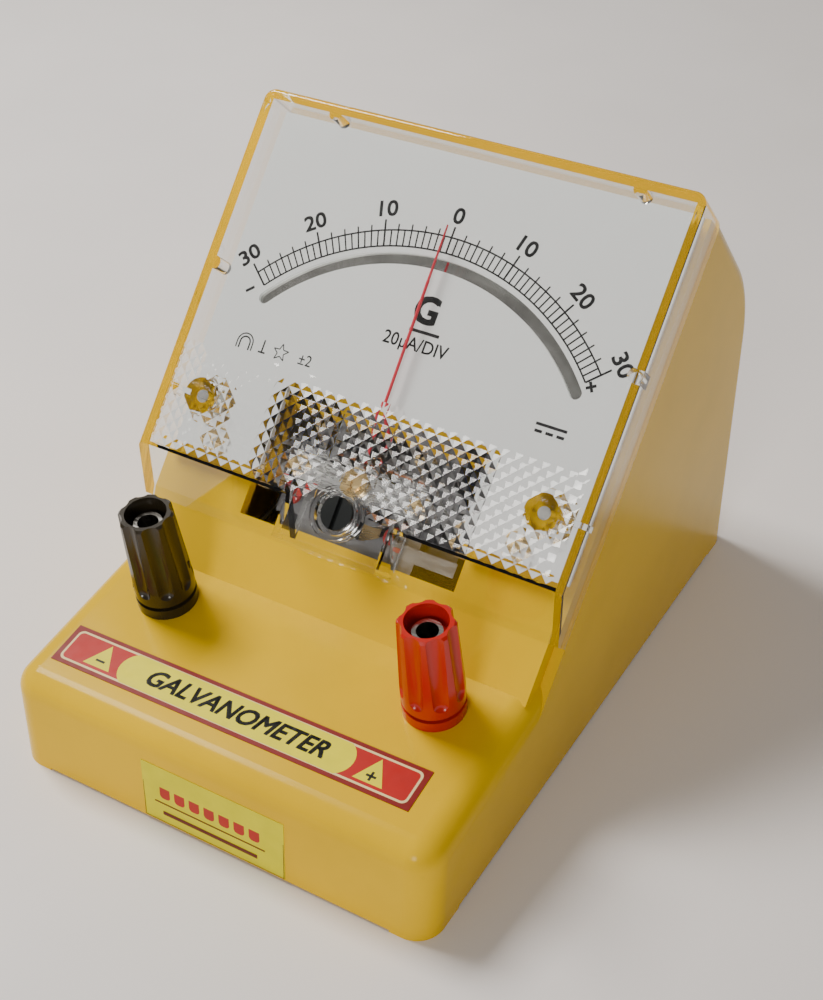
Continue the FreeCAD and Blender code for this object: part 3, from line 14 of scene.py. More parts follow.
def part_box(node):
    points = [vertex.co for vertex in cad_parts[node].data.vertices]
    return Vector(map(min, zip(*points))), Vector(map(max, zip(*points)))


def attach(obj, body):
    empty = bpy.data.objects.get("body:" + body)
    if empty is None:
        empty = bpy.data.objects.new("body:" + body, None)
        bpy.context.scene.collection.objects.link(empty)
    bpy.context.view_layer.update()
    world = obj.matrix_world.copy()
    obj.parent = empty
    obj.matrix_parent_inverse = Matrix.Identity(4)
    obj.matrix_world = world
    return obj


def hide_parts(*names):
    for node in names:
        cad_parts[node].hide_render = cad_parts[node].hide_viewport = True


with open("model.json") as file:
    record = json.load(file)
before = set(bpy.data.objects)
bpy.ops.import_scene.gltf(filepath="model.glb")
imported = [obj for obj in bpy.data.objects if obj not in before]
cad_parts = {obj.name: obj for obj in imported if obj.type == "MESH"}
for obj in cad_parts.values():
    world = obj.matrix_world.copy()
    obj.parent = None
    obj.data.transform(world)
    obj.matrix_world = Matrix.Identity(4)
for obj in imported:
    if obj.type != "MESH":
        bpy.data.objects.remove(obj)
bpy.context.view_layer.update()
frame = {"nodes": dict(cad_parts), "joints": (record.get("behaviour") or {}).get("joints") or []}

MM = 0.001
DIRT = (0.05, 0.03, 0.01)
log = logging.getLogger("galvanometer")

Rgb = tuple[float, float, float]
Place = tuple[float, float]


class Body(Enum):
    """The rigid bodies that pieces ride on."""

    CASE = "case"
    COIL = "moving_coil"
    ADJUSTER = "adjuster"
    BLACK_CAP = "black_nut"
    RED_CAP = "red_nut"


class Shape(Enum):
    """How the weave of a surface's fine relief runs."""

    EVEN = (1.0, 1.0, 1.0)
    DRAWN_ALONG_X = (0.06, 1.0, 1.0)
    DRAWN_ALONG_Z = (1.0, 1.0, 0.06)


# ---------------------------------------------------------------- planes
@dataclass(frozen=True)
class Plane:
    """A working plane of the instrument: a place on it and the way it faces.

    Args:
        origin: The plane's own zero, in metres in the row frame.
        out: Unit vector out of the plane.
    """

    origin: Vector
    out: Vector

    @property
    def matrix(self) -> Matrix:
        """The turn and move from plane coordinates (right, up, out) to the row frame."""
        right = Vector((1.0, 0.0, 0.0))
        up = self.out.cross(right)
        turn = Matrix((right, up, self.out)).transposed().to_4x4()
        return Matrix.Translation(self.origin) @ turn

    def span(self, node: str) -> tuple[Vector, Vector]:
        """The lowest and highest plane coordinates of a CAD node.

        Args:
            node: Name of the CAD node.

        Returns:
            Two vectors of plane coordinates in metres.
        """
        back = self.matrix.inverted()
        places = [back @ vertex.co for vertex in frame["nodes"][node].data.vertices]
        low = Vector(min(place[axis] for place in places) for axis in range(3))
        high = Vector(max(place[axis] for place in places) for axis in range(3))
        return low, high


def joint(name: str) -> dict:
    """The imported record's entry for the joint of this name."""
    return next(entry for entry in frame["joints"] if entry["name"] == name)


def panel_plane() -> Plane:
    """The sloping panel, with its zero on the needle's pivot."""
    swing = joint("needle_swing")
    return Plane(Vector(swing["pos_m"]), Vector(swing["axis"]).normalized())


def post_plane(word: str) -> Plane:
    """The deck, with its zero on the axis of one binding post."""
    turn = joint(word + "_cap_turn")
    return Plane(Vector(turn["pos_m"]), Vector(turn["axis"]).normalized())


def label_plane() -> Plane:
    """The top of the printed strip, with its zero in the strip's middle."""
    low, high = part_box("label_strip")
    deck = post_plane("black")
    middle = (low + high) / 2
    top = deck.span("label_strip")[1].z
    flat = deck.matrix.inverted() @ middle
    return Plane(deck.matrix @ Vector((flat.x, flat.y, top)), deck.out)


def sticker_plane() -> Plane:
    """The face of the sticker on the front wall, with its zero in the sticker's middle."""
    low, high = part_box("front_sticker")
    lean = math.atan2(high.y - low.y, high.z - low.z)
    out = Vector((0.0, -math.cos(lean), math.sin(lean)))
    middle = (low + high) / 2
    middle.y -= 0.01 * MM
    return Plane(middle + out * (0.08 * MM), out)


# ---------------------------------------------------------------- finishes
class Recipe:
    """One material's node tree, with short words for the nodes a finish uses."""

    def __init__(self, name: str) -> None:
        """Starts a material that holds one Principled shader."""
        self.material = bpy.data.materials.new(name)
        self.material.use_nodes = True
        self.tree = self.material.node_tree
        self.shader = self.tree.nodes["Principled BSDF"]
        self.output = self.tree.nodes["Material Output"]
        self.place = self.node("ShaderNodeTexCoord").outputs["Object"]

    def node(self, kind: str, **settings: object) -> bpy.types.Node:
        """Adds a node.

        Args:
            kind: The node's type.
            settings: Properties to set on it.

        Returns:
            The new node.
        """
        made = self.tree.nodes.new(kind)
        for word, setting in settings.items():
            setattr(made, word, setting)
        return made

    def feed(self, target: bpy.types.NodeSocket, source: object) -> None:
        """Links a socket, or writes a plain value on it.

        Args:
            target: The input that is fed.
            source: An output socket, a number or a colour.
        """
        if isinstance(source, bpy.types.NodeSocket):
            self.tree.links.new(source, target)
        elif isinstance(source, tuple) and len(source) == 3 and target.type == "RGBA":
            target.default_value = (*source, 1.0)
        else:
            target.default_value = source

    def stretched(self, scale: Sequence[float]) -> bpy.types.NodeSocket:
        """Stretches the object coordinates.

        Args:
            scale: One factor for each axis.

        Returns:
            The stretched coordinates.
        """
        mapping = self.node("ShaderNodeMapping")
        self.feed(mapping.inputs["Vector"], self.place)
        mapping.inputs["Scale"].default_value = scale
        return mapping.outputs["Vector"]

    def noise(self, scale: float, detail: float = 3.0, shape: Shape = Shape.EVEN,
              roughness: float = 0.55) -> bpy.types.NodeSocket:
        """Cloudy noise.

        Args:
            scale: Waves to the metre.
            detail: How many finer layers it carries.
            shape: Whether it is even or drawn out along an axis.
            roughness: Strength of the finer layers.

        Returns:
            The noise, from nought to one.
        """
        made = self.node("ShaderNodeTexNoise")
        self.feed(made.inputs["Vector"], self.stretched(shape.value))
        made.inputs["Scale"].default_value = scale
        made.inputs["Detail"].default_value = detail
        made.inputs["Roughness"].default_value = roughness
        return made.outputs["Fac"]

    def arithmetic(self, operation: str, first: object, second: object) -> bpy.types.NodeSocket:
        """One arithmetic step.

        Args:
            operation: The step's name.
            first: A socket or a number.
            second: A socket or a number.

        Returns:
            The result.
        """
        made = self.node("ShaderNodeMath", operation=operation)
        self.feed(made.inputs[0], first)
        self.feed(made.inputs[1], second)
        return made.outputs[0]

    def between(self, source: bpy.types.NodeSocket, low: float, high: float,
                to_low: float = 0.0, to_high: float = 1.0) -> bpy.types.NodeSocket:
        """Spreads one range of a signal over another and clamps it.

        Args:
            source: The signal.
            low: Start of its range.
            high: End of its range.
            to_low: What the start becomes.
            to_high: What the end becomes.

        Returns:
            The spread signal.
        """
        made = self.node("ShaderNodeMapRange")
        self.feed(made.inputs["Value"], source)
        for word, number in (("From Min", low), ("From Max", high), ("To Min", to_low), ("To Max", to_high)):
            made.inputs[word].default_value = number
        return made.outputs["Result"]

    def blend(self, share: object, first: object, second: object) -> bpy.types.NodeSocket:
        """A colour between two others.

        Args:
            share: How much of the second colour shows.
            first: A socket or a colour.
            second: A socket or a colour.

        Returns:
            The mixed colour.
        """
        made = self.node("ShaderNodeMix", data_type="RGBA")
        self.feed(made.inputs["Factor"], share)
        colours = [socket for socket in made.inputs if socket.type == "RGBA"]
        self.feed(colours[0], first)
        self.feed(colours[1], second)
        return [socket for socket in made.outputs if socket.type == "RGBA"][0]

    def near(self, centre: Vector, radius: float) -> bpy.types.NodeSocket:
        """A small round spot.

        Args:
            centre: Its middle, in the row frame.
            radius: Its radius in metres.

        Returns:
            One inside the spot, fading to nought at its edge.
        """
        made = self.node("ShaderNodeVectorMath", operation="DISTANCE")
        self.feed(made.inputs[0], self.place)
        made.inputs[1].default_value = centre
        return self.between(made.outputs["Value"], 0.7 * radius, radius, 1.0, 0.0)

    def relief(self, height: bpy.types.NodeSocket, depth: float, strength: float = 1.0) -> None:
        """Tilts the surface's normal by a height signal.

        Args:
            height: The signal.
            depth: What one stands for, in metres.
            strength: Share of the tilt that is used.
        """
        bump = self.node("ShaderNodeBump")
        bump.inputs["Strength"].default_value = strength
        bump.inputs["Distance"].default_value = depth
        self.feed(bump.inputs["Height"], height)
        self.feed(self.shader.inputs["Normal"], bump.outputs["Normal"])

    def set(self, **values: float) -> None:
        """Writes plain numbers on the shader's own sockets; underscores stand for spaces."""
        for word, number in values.items():
            self.shader.inputs[word.replace("_", " ")].default_value = number


@dataclass(frozen=True)
class Moulding:
    """Moulded plastic: fine orange-peel, uneven gloss and a little handling grime.

    Args:
        name: The material's name.
        colour: The plastic's own colour.
        grime: Colour of its scuffs.
        gloss: Least and greatest roughness.
        peel: Depth of the orange-peel in metres.
        shine: Strength of its mirror-like reflection.
        specks: Middle and radius of each dirt speck, in metres.
    """

    name: str
    colour: Rgb
    grime: Rgb
    gloss: tuple[float, float] = (0.28, 0.42)
    peel: float = 0.010 * MM
    shine: float = 0.5
    specks: tuple[tuple[Vector, float], ...] = ()

    def make(self) -> bpy.types.Material:
        """Builds the material."""
        recipe = Recipe(self.name)
        cloud = recipe.between(recipe.noise(28.0, 4.0), 0.35, 0.7)
        deep = tuple(0.86 * part for part in self.colour)
        colour = recipe.blend(cloud, self.colour, deep)
        scuffs = recipe.between(recipe.noise(140.0, 6.0, Shape.DRAWN_ALONG_X, 0.7), 0.66, 0.8, 0.0, 0.5)
        patches = recipe.between(recipe.noise(16.0, 2.0), 0.52, 0.66)
        colour = recipe.blend(recipe.arithmetic("MULTIPLY", scuffs, patches), colour, self.grime)
        for centre, radius in self.specks:
            colour = recipe.blend(recipe.near(centre, radius), colour, DIRT)
        recipe.feed(recipe.shader.inputs["Base Color"], colour)
        gloss = recipe.between(recipe.noise(60.0, 5.0), 0.3, 0.7, *self.gloss)
        recipe.feed(recipe.shader.inputs["Roughness"], gloss)
        recipe.relief(recipe.noise(900.0, 2.0), self.peel, 0.35)
        recipe.set(IOR=1.46, Specular_IOR_Level=self.shine)
        return recipe.material


@dataclass(frozen=True)
class Clear:
    """Clear moulded acrylic with hairline scratches; lamps shine through it."""

    name: str
    tint: Rgb = (0.985, 0.985, 0.975)

    def make(self) -> bpy.types.Material:
        """Builds the material."""
        recipe = Recipe(self.name)
        recipe.feed(recipe.shader.inputs["Base Color"], self.tint)
        hairs = recipe.between(recipe.noise(420.0, 5.0, Shape.DRAWN_ALONG_X, 0.75), 0.62, 0.74, 0.012, 0.10)
        recipe.feed(recipe.shader.inputs["Roughness"], hairs)
        recipe.relief(recipe.noise(90.0, 2.0), 0.02 * MM, 0.08)
        recipe.set(Transmission_Weight=1.0, IOR=1.49)
        through = recipe.node("ShaderNodeBsdfTransparent")
        through.inputs["Color"].default_value = (0.94, 0.94, 0.935, 1.0)
        path = recipe.node("ShaderNodeLightPath")
        spread = recipe.arithmetic("MAXIMUM", path.outputs["Is Shadow Ray"], path.outputs["Is Diffuse Ray"])
        mix = recipe.node("ShaderNodeMixShader")
        recipe.feed(mix.inputs["Fac"], spread)
        recipe.feed(mix.inputs[1], recipe.shader.outputs["BSDF"])
        recipe.feed(mix.inputs[2], through.outputs["BSDF"])
        recipe.feed(recipe.output.inputs["Surface"], mix.outputs["Shader"])
        return recipe.material


@dataclass(frozen=True)
class Metal:
    """Bare or plated metal with machining lines and dull patches."""

    name: str
    colour: Rgb
    gloss: tuple[float, float] = (0.2, 0.4)
    lines: Shape = Shape.DRAWN_ALONG_X

    def make(self) -> bpy.types.Material:
        """Builds the material."""
        recipe = Recipe(self.name)
        dull = tuple(0.62 * part for part in self.colour)
        stain = recipe.between(recipe.noise(130.0, 4.0), 0.4, 0.75)
        recipe.feed(recipe.shader.inputs["Base Color"], recipe.blend(stain, self.colour, dull))
        grain = recipe.noise(2600.0, 3.0, self.lines)
        recipe.feed(recipe.shader.inputs["Roughness"], recipe.between(grain, 0.3, 0.7, *self.gloss))
        recipe.relief(grain, 0.004 * MM, 0.4)
        recipe.set(Metallic=1.0)
        return recipe.material


@dataclass(frozen=True)
class Ink:
    """Printed film or paint: an even colour with faint mottling and a soft sheen."""

    name: str
    colour: Rgb
    gloss: float = 0.45
    mottle: float = 0.9

    def make(self) -> bpy.types.Material:
        """Builds the material."""
        recipe = Recipe(self.name)
        worn = tuple(self.mottle * part + 0.02 * (1.0 - self.mottle) for part in self.colour)
        cloud = recipe.between(recipe.noise(220.0, 5.0), 0.35, 0.7)
        recipe.feed(recipe.shader.inputs["Base Color"], recipe.blend(cloud, self.colour, worn))
        gloss = recipe.between(recipe.noise(500.0, 3.0), 0.3, 0.7, self.gloss - 0.06, self.gloss + 0.06)
        recipe.feed(recipe.shader.inputs["Roughness"], gloss)
        recipe.relief(recipe.noise(1500.0, 2.0), 0.006 * MM, 0.3)
        recipe.set(Specular_IOR_Level=0.16)
        return recipe.material


@dataclass(frozen=True)
class Winding:
    """Fine enamelled wire wound side by side, with painted shade darkening the grooves between turns."""

    name: str
    colour: Rgb
    wires: float = 5200.0

    def make(self) -> bpy.types.Material:
        """Builds the material."""
        recipe = Recipe(self.name)
        wave = recipe.node("ShaderNodeTexWave", wave_type="BANDS", bands_direction="Y")
        recipe.feed(wave.inputs["Vector"], recipe.place)
        wave.inputs["Scale"].default_value = self.wires
        wave.inputs["Distortion"].default_value = 1.2
        # painted shade: the grooves between turns, where the relief is lowest, are darkened to 0.35 of the
        # wire colour
        dark = tuple(0.35 * part for part in self.colour)
        recipe.feed(recipe.shader.inputs["Base Color"], recipe.blend(wave.outputs["Fac"], dark, self.colour))
        recipe.relief(wave.outputs["Fac"], 0.03 * MM, 0.8)
        gloss = recipe.between(wave.outputs["Fac"], 0.0, 1.0, 0.55, 0.3)
        recipe.feed(recipe.shader.inputs["Roughness"], gloss)
        recipe.set(Metallic=0.6)
        return recipe.material


# ---------------------------------------------------------------- making pieces
def piece(name: str, bm: bmesh.types.BMesh, plane: Plane, material: bpy.types.Material, body: Body,
          smooth: Optional[float] = 40.0) -> bpy.types.Object:
    """Turns a bmesh drawn in plane coordinates into a finished piece.

    Args:
        name: The piece's name.
        bm: The shape, in metres; it is freed.
        plane: The plane it was drawn on.
        material: Its finish.
        body: The body it rides on.
        smooth: Largest angle shaded smooth, in degrees, or None for flat facets.

    Returns:
        The new object.
    """
    bm.transform(plane.matrix)
    bmesh.ops.recalc_face_normals(bm, faces=bm.faces)
    for face in bm.faces:
        face.smooth = smooth is not None
    for edge in bm.edges:
        edge.smooth = smooth is not None and edge.calc_face_angle(0.0) < math.radians(smooth)
    mesh = bpy.data.meshes.new(name)
    bm.to_mesh(mesh)
    bm.free()
    mesh.materials.append(material)
    made = bpy.data.objects.new(name, mesh)
    bpy.context.scene.collection.objects.link(made)
    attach(made, body.value)
    log.info("%s: %d faces", name, len(mesh.polygons))
    return made


def dress(nodes: Iterable[str], material: bpy.types.Material) -> None:
    """Gives CAD nodes one finish.

    Args:
        nodes: Names of the nodes.
        material: Their finish.
    """
    for name in nodes:
        mesh = frame["nodes"][name].data
        mesh.materials.clear()
        mesh.materials.append(material)
        log.info("%s dressed in %s", name, material.name)


class Print:
    """Thin printed shapes on one plane, gathered in a single mesh.

    Args:
        level: Height of the sheet that is printed on, in millimetres along the plane's normal.
        film: Thickness of the print in millimetres.
    """

    def __init__(self, level: float, film: float = 0.02) -> None:
        """Starts an empty sheet."""
        self.bm = bmesh.new()
        self.level = level * MM
        self.film = film * MM

    def bar(self, centre: Place, width: float, length: float, turn: float = 0.0) -> None:
        """A straight bar.

        Args:
            centre: Its middle, in millimetres.
            width: Its width in millimetres.
            length: Its length in millimetres.
            turn: Clockwise turn from upright, in degrees.
        """
        place = Matrix.Translation((centre[0] * MM, centre[1] * MM, self.level + self.film / 2))
        spin = Matrix.Rotation(math.radians(-turn), 4, "Z")
        size = Matrix.Diagonal((width * MM, length * MM, self.film, 1.0))
        bmesh.ops.create_cube(self.bm, size=1.0, matrix=place @ spin @ size)

    def ray(self, radius: Place, angle: float, width: float) -> None:
        """A tick that points away from the plane's zero.

        Args:
            radius: Where it starts and ends, in millimetres.
            angle: Clockwise from up, in degrees.
            width: Its width in millimetres.
        """
        middle = (radius[0] + radius[1]) / 2
        turn = math.radians(angle)
        self.bar((middle * math.sin(turn), middle * math.cos(turn)), width, radius[1] - radius[0], angle)

    def arc(self, centre: Place, radius: float, width: float, start: float, end: float,
            steps: int = 72) -> None:
        """A curved line of one width.

        Args:
            centre: Middle of its circle, in millimetres.
            radius: Radius of its middle line, in millimetres.
            width: Its width in millimetres.
            start: First angle, clockwise from up, in degrees.
            end: Last angle.
            steps: Number of straight stretches.
        """
        low, high = (radius - width / 2) * MM, (radius + width / 2) * MM
        middle = Vector((centre[0] * MM, centre[1] * MM, 0.0))
        corners = [Vector((0.0, reach, self.level + rise)) + middle
                   for reach, rise in ((low, 0.0), (high, 0.0), (high, self.film), (low, self.film))]
        face = self.bm.faces.new([self.bm.verts.new(corner) for corner in corners])
        lean = Matrix.Rotation(math.radians(-start), 3, "Z")
        bmesh.ops.rotate(self.bm, verts=face.verts, cent=middle, matrix=lean)
        bmesh.ops.spin(self.bm, geom=[face, *face.edges, *face.verts], cent=middle, axis=(0.0, 0.0, 1.0),
                       angle=-math.radians(end - start), steps=steps)

    def patch(self, corners: Sequence[Place]) -> None:
        """A filled outline.

        Args:
            corners: Its corners in order, in millimetres.
        """
        face = self.bm.faces.new([self.bm.verts.new((x * MM, y * MM, self.level)) for x, y in corners])
        made = bmesh.ops.extrude_face_region(self.bm, geom=[face])["geom"]
        lifted = [part for part in made if isinstance(part, bmesh.types.BMVert)]
        bmesh.ops.translate(self.bm, verts=lifted, vec=(0.0, 0.0, self.film))

    def words(self, text: str, centre: Place, height: float, turn: float = 0.0, heavy: float = 0.0,
              slant: float = 0.0, stretch: float = 1.0) -> None:
        """Generic figures or letters.

        Args:
            text: What is written.
            centre: Middle of the line, in millimetres.
            height: Height of a capital, in millimetres.
            turn: Clockwise turn in degrees.
            heavy: How far each stroke swells to either side, as a share of the height.
            slant: Italic slant.
            stretch: Width against the face's own.
        """
        curve = bpy.data.curves.new("lettering", "FONT")
        curve.body = text
        curve.align_x = "CENTER"
        curve.align_y = "CENTER"
        curve.shear = slant
        curve.resolution_u = 3
        curve.extrude = 0.004
        carrier = bpy.data.objects.new("lettering", curve)
        bpy.context.scene.collection.objects.link(carrier)
        bpy.context.view_layer.update()
        drawn = bpy.data.meshes.new_from_object(carrier.evaluated_get(bpy.context.evaluated_depsgraph_get()))
        bpy.data.objects.remove(carrier)
        scale = height * MM / 0.7
        place = Matrix.Translation((centre[0] * MM, centre[1] * MM, self.level + self.film / 2))
        spin = Matrix.Rotation(math.radians(-turn), 4, "Z")
        size = Matrix.Diagonal((scale * stretch, scale, self.film / 0.008, 1.0))
        for across, along in (((-1, -1), (-1, 1), (1, -1), (1, 1)) if heavy else ((0, 0),)):
            swell = Matrix.Translation((across * heavy * height * MM, along * heavy * height * MM, 0.0))
            copy = drawn.copy()
            copy.transform(place @ spin @ swell @ size)
            self.bm.from_mesh(copy)
            bpy.data.meshes.remove(copy)
        bpy.data.meshes.remove(drawn)

    def finish(self, name: str, plane: Plane, material: bpy.types.Material,
               body: Body = Body.CASE) -> bpy.types.Object:
        """Makes the sheet one piece.

        Args:
            name: The piece's name.
            plane: The plane that it was drawn on.
            material: Its ink.
            body: The body that it rides on.

        Returns:
            The new object.
        """
        bmesh.ops.remove_doubles(self.bm, verts=self.bm.verts, dist=0.001 * MM)
        return piece(name, self.bm, plane, material, body, smooth=None)


def rounded(width: float, height: float, radius: float, steps: int = 6) -> list[Place]:
    """The outline of a rectangle with round corners.

    Args:
        width: Its width in millimetres.
        height: Its height in millimetres.
        radius: Radius of its corners.
        steps: Straight stretches in each corner.

    Returns:
        Its points about its middle.
    """
    outline: list[Place] = []
    for turn, (side, end) in enumerate(((1, 1), (-1, 1), (-1, -1), (1, -1))):
        for step in range(steps + 1):
            angle = math.radians(90 * turn + 90 * step / steps)
            outline.append((side * (width / 2 - radius) + radius * math.cos(angle),
                            end * (height / 2 - radius) + radius * math.sin(angle)))
    return outline


# ---------------------------------------------------------------- sub-assemblies
@dataclass
class Casework:
    """The moulded case, its base plate and their screws."""

    yellow: Rgb = (0.87, 0.54, 0.0)
    specks: tuple[tuple[Place, float], ...] = (
        ((-13.7, -17.6), 0.55), ((49.6, 10.0), 0.4), ((-6.0, -20.5), 0.3))

    def build(self) -> None:
        """Dresses the case."""
        deck = post_plane("black")
        marks = tuple((deck.matrix @ Vector((x * MM, y * MM, 0.0)), radius * MM)
                      for (x, y), radius in self.specks)
        shell = Moulding("case_yellow_moulding", self.yellow, (0.42, 0.28, 0.03), (0.14, 0.24),
                         shine=0.13, specks=marks)
        dress(["case_shell"], shell.make())
        plate = Moulding("base_grey_moulding", (0.12, 0.12, 0.125), (0.2, 0.19, 0.17), (0.45, 0.6))
        dress(["base_plate"], plate.make())
        dress(["base_plate_screws", "cover_screws", "movement_screws", "pole_screws"],
              Metal("zinc_plate", (0.62, 0.62, 0.6), (0.22, 0.42)).make())


@dataclass
class Knurl:
    """Pyramids in rows over the foot of the cover's front.

    All sizes are in millimetres; heights up the panel count from the needle's pivot.
    """

    pitch: float = 2.66
    rise: float = 0.42
    half_width: float = 43.6
    foot: float = -5.95
    head: float = 16.5
    collar: float = 5.45
    collar_up: float = -6.25
    boss: Place = (37.0, 6.3)
    boss_clear: float = 3.3
    whole_share: float = 0.93
    least_share: float = 0.3

    def areas(self) -> list[tuple[float, float, float, float]]:
        """The rectangles that carry pyramids.

        Returns:
            Left, right, low and high of each.
        """
        above = self.collar_up + self.collar
        return [(-self.half_width, -self.collar, self.foot, self.head),
                (self.collar, self.half_width, self.foot, self.head),
                (-self.collar, self.collar, above, self.head)]

    @staticmethod
    def inside(face: bmesh.types.BMFace, area: tuple[float, float, float, float], level: float) -> bool:
        """Whether a face lies on the front and within a rectangle.

        Args:
            face: The face.
            area: Left, right, low and high of the rectangle.
            level: Height of the front.

        Returns:
            True where it does.
        """
        middle = face.calc_center_median() / MM
        return (area[0] < middle.x < area[1] and area[2] < middle.y < area[3]
                and all(abs(vertex.co.z / MM - level) < 0.01 for vertex in face.verts))

    @staticmethod
    def split(bm: bmesh.types.BMesh, faces: list[bmesh.types.BMFace], co: Place, no: Place) -> None:
        """Cuts the given faces along a line.

        Args:
            bm: The mesh that they belong to.
            faces: The faces.
            co: A point of the line, in millimetres.
            no: The line's normal.
        """
        geom = list({part for face in faces for part in (face, *face.edges, *face.verts)})
        bmesh.ops.bisect_plane(bm, geom=geom, dist=0.0005 * MM, plane_co=(co[0] * MM, co[1] * MM, 0.0),
                               plane_no=(no[0], no[1], 0.0))

    def cut_into(self, bm: bmesh.types.BMesh, level: float) -> None:
        """Cuts the rows and raises every whole diamond to a point.

        Args:
            bm: The cover in plane coordinates, in metres.
            level: The front's height along the plane's normal, in millimetres.
        """
        everywhere = (-math.inf, math.inf, -math.inf, math.inf)
        for left, right, low, high in self.areas():
            for co, no in (((left, 0), (1, 0)), ((right, 0), (1, 0)), ((0, low), (0, 1)), ((0, high), (0, 1))):
                self.split(bm, [face for face in bm.faces if self.inside(face, everywhere, level)], co, no)
        for area in self.areas():
            within = [face for face in bm.faces if self.inside(face, area, level)]
            bmesh.ops.dissolve_faces(bm, faces=within, use_verts=False)
        reach = int((2 * self.half_width + self.head - self.foot) / self.pitch) + 1
        for area in self.areas():
            for slope in (1, -1):
                for step in range(-reach, reach + 1):
                    offset = step * self.pitch
                    self.split(bm, [face for face in bm.faces if self.inside(face, area, level)],
                               (offset, 0.0), (1.0, slope))
        chosen = [face for area in self.areas() for face in bm.faces
                  if self.inside(face, area, level) and self.clear(face)]
        full = [face for face in chosen if self.share(face) > self.whole_share]
        part = [face for face in chosen if self.least_share < self.share(face) <= self.whole_share]
        bmesh.ops.poke(bm, faces=full, offset=self.rise * MM, center_mode="MEAN")
        bmesh.ops.poke(bm, faces=part, offset=0.5 * self.rise * MM, center_mode="MEAN")
        log.info("knurl: %d whole and %d part pyramids", len(full), len(part))

    def share(self, face: bmesh.types.BMFace) -> float:
        """A face's area as a share of a whole diamond's."""
        return face.calc_area() / MM ** 2 / (self.pitch ** 2 / 2)

    def clear(self, face: bmesh.types.BMFace) -> bool:
        """Whether a face stands clear of both screw bosses."""
        middle = face.calc_center_median() / MM
        return math.hypot(abs(middle.x) - self.boss[0], middle.y - self.boss[1]) > self.boss_clear


@dataclass
class MeterCover:
    """The clear cover with its knurled foot."""

    knurl: Knurl = field(default_factory=Knurl)
    sharp: float = 14.0

    def build(self) -> None:
        """Builds the knurled copy that stands for the plain CAD cover."""
        panel = panel_plane()
        bm = bmesh.new()
        bm.from_mesh(frame["nodes"]["meter_cover"].data)
        bmesh.ops.remove_doubles(bm, verts=bm.verts, dist=0.002 * MM)
        bm.transform(panel.matrix.inverted())
        bm.normal_update()
        self.knurl.cut_into(bm, self.front_level(bm))
        acrylic = Clear("clear_acrylic").make()
        cover = piece("knurled_cover", bm, panel, acrylic, Body.CASE, self.sharp)
        weighted = cover.modifiers.new("weighted_normals", "WEIGHTED_NORMAL")
        weighted.mode = "FACE_AREA"
        weighted.weight = 100
        weighted.keep_sharp = True
        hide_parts("meter_cover")

    @staticmethod
    def front_level(bm: bmesh.types.BMesh) -> float:
        """Finds the cover's large front face.

        Args:
            bm: The cover in plane coordinates.

        Returns:
            The face's height in millimetres.
        """
        areas: dict[float, float] = {}
        for face in bm.faces:
            if face.normal.z > 0.999:
                level = round(face.calc_center_median().z / MM, 2)
                areas[level] = areas.get(level, 0.0) + face.calc_area()
        return max(areas, key=lambda level: areas[level])


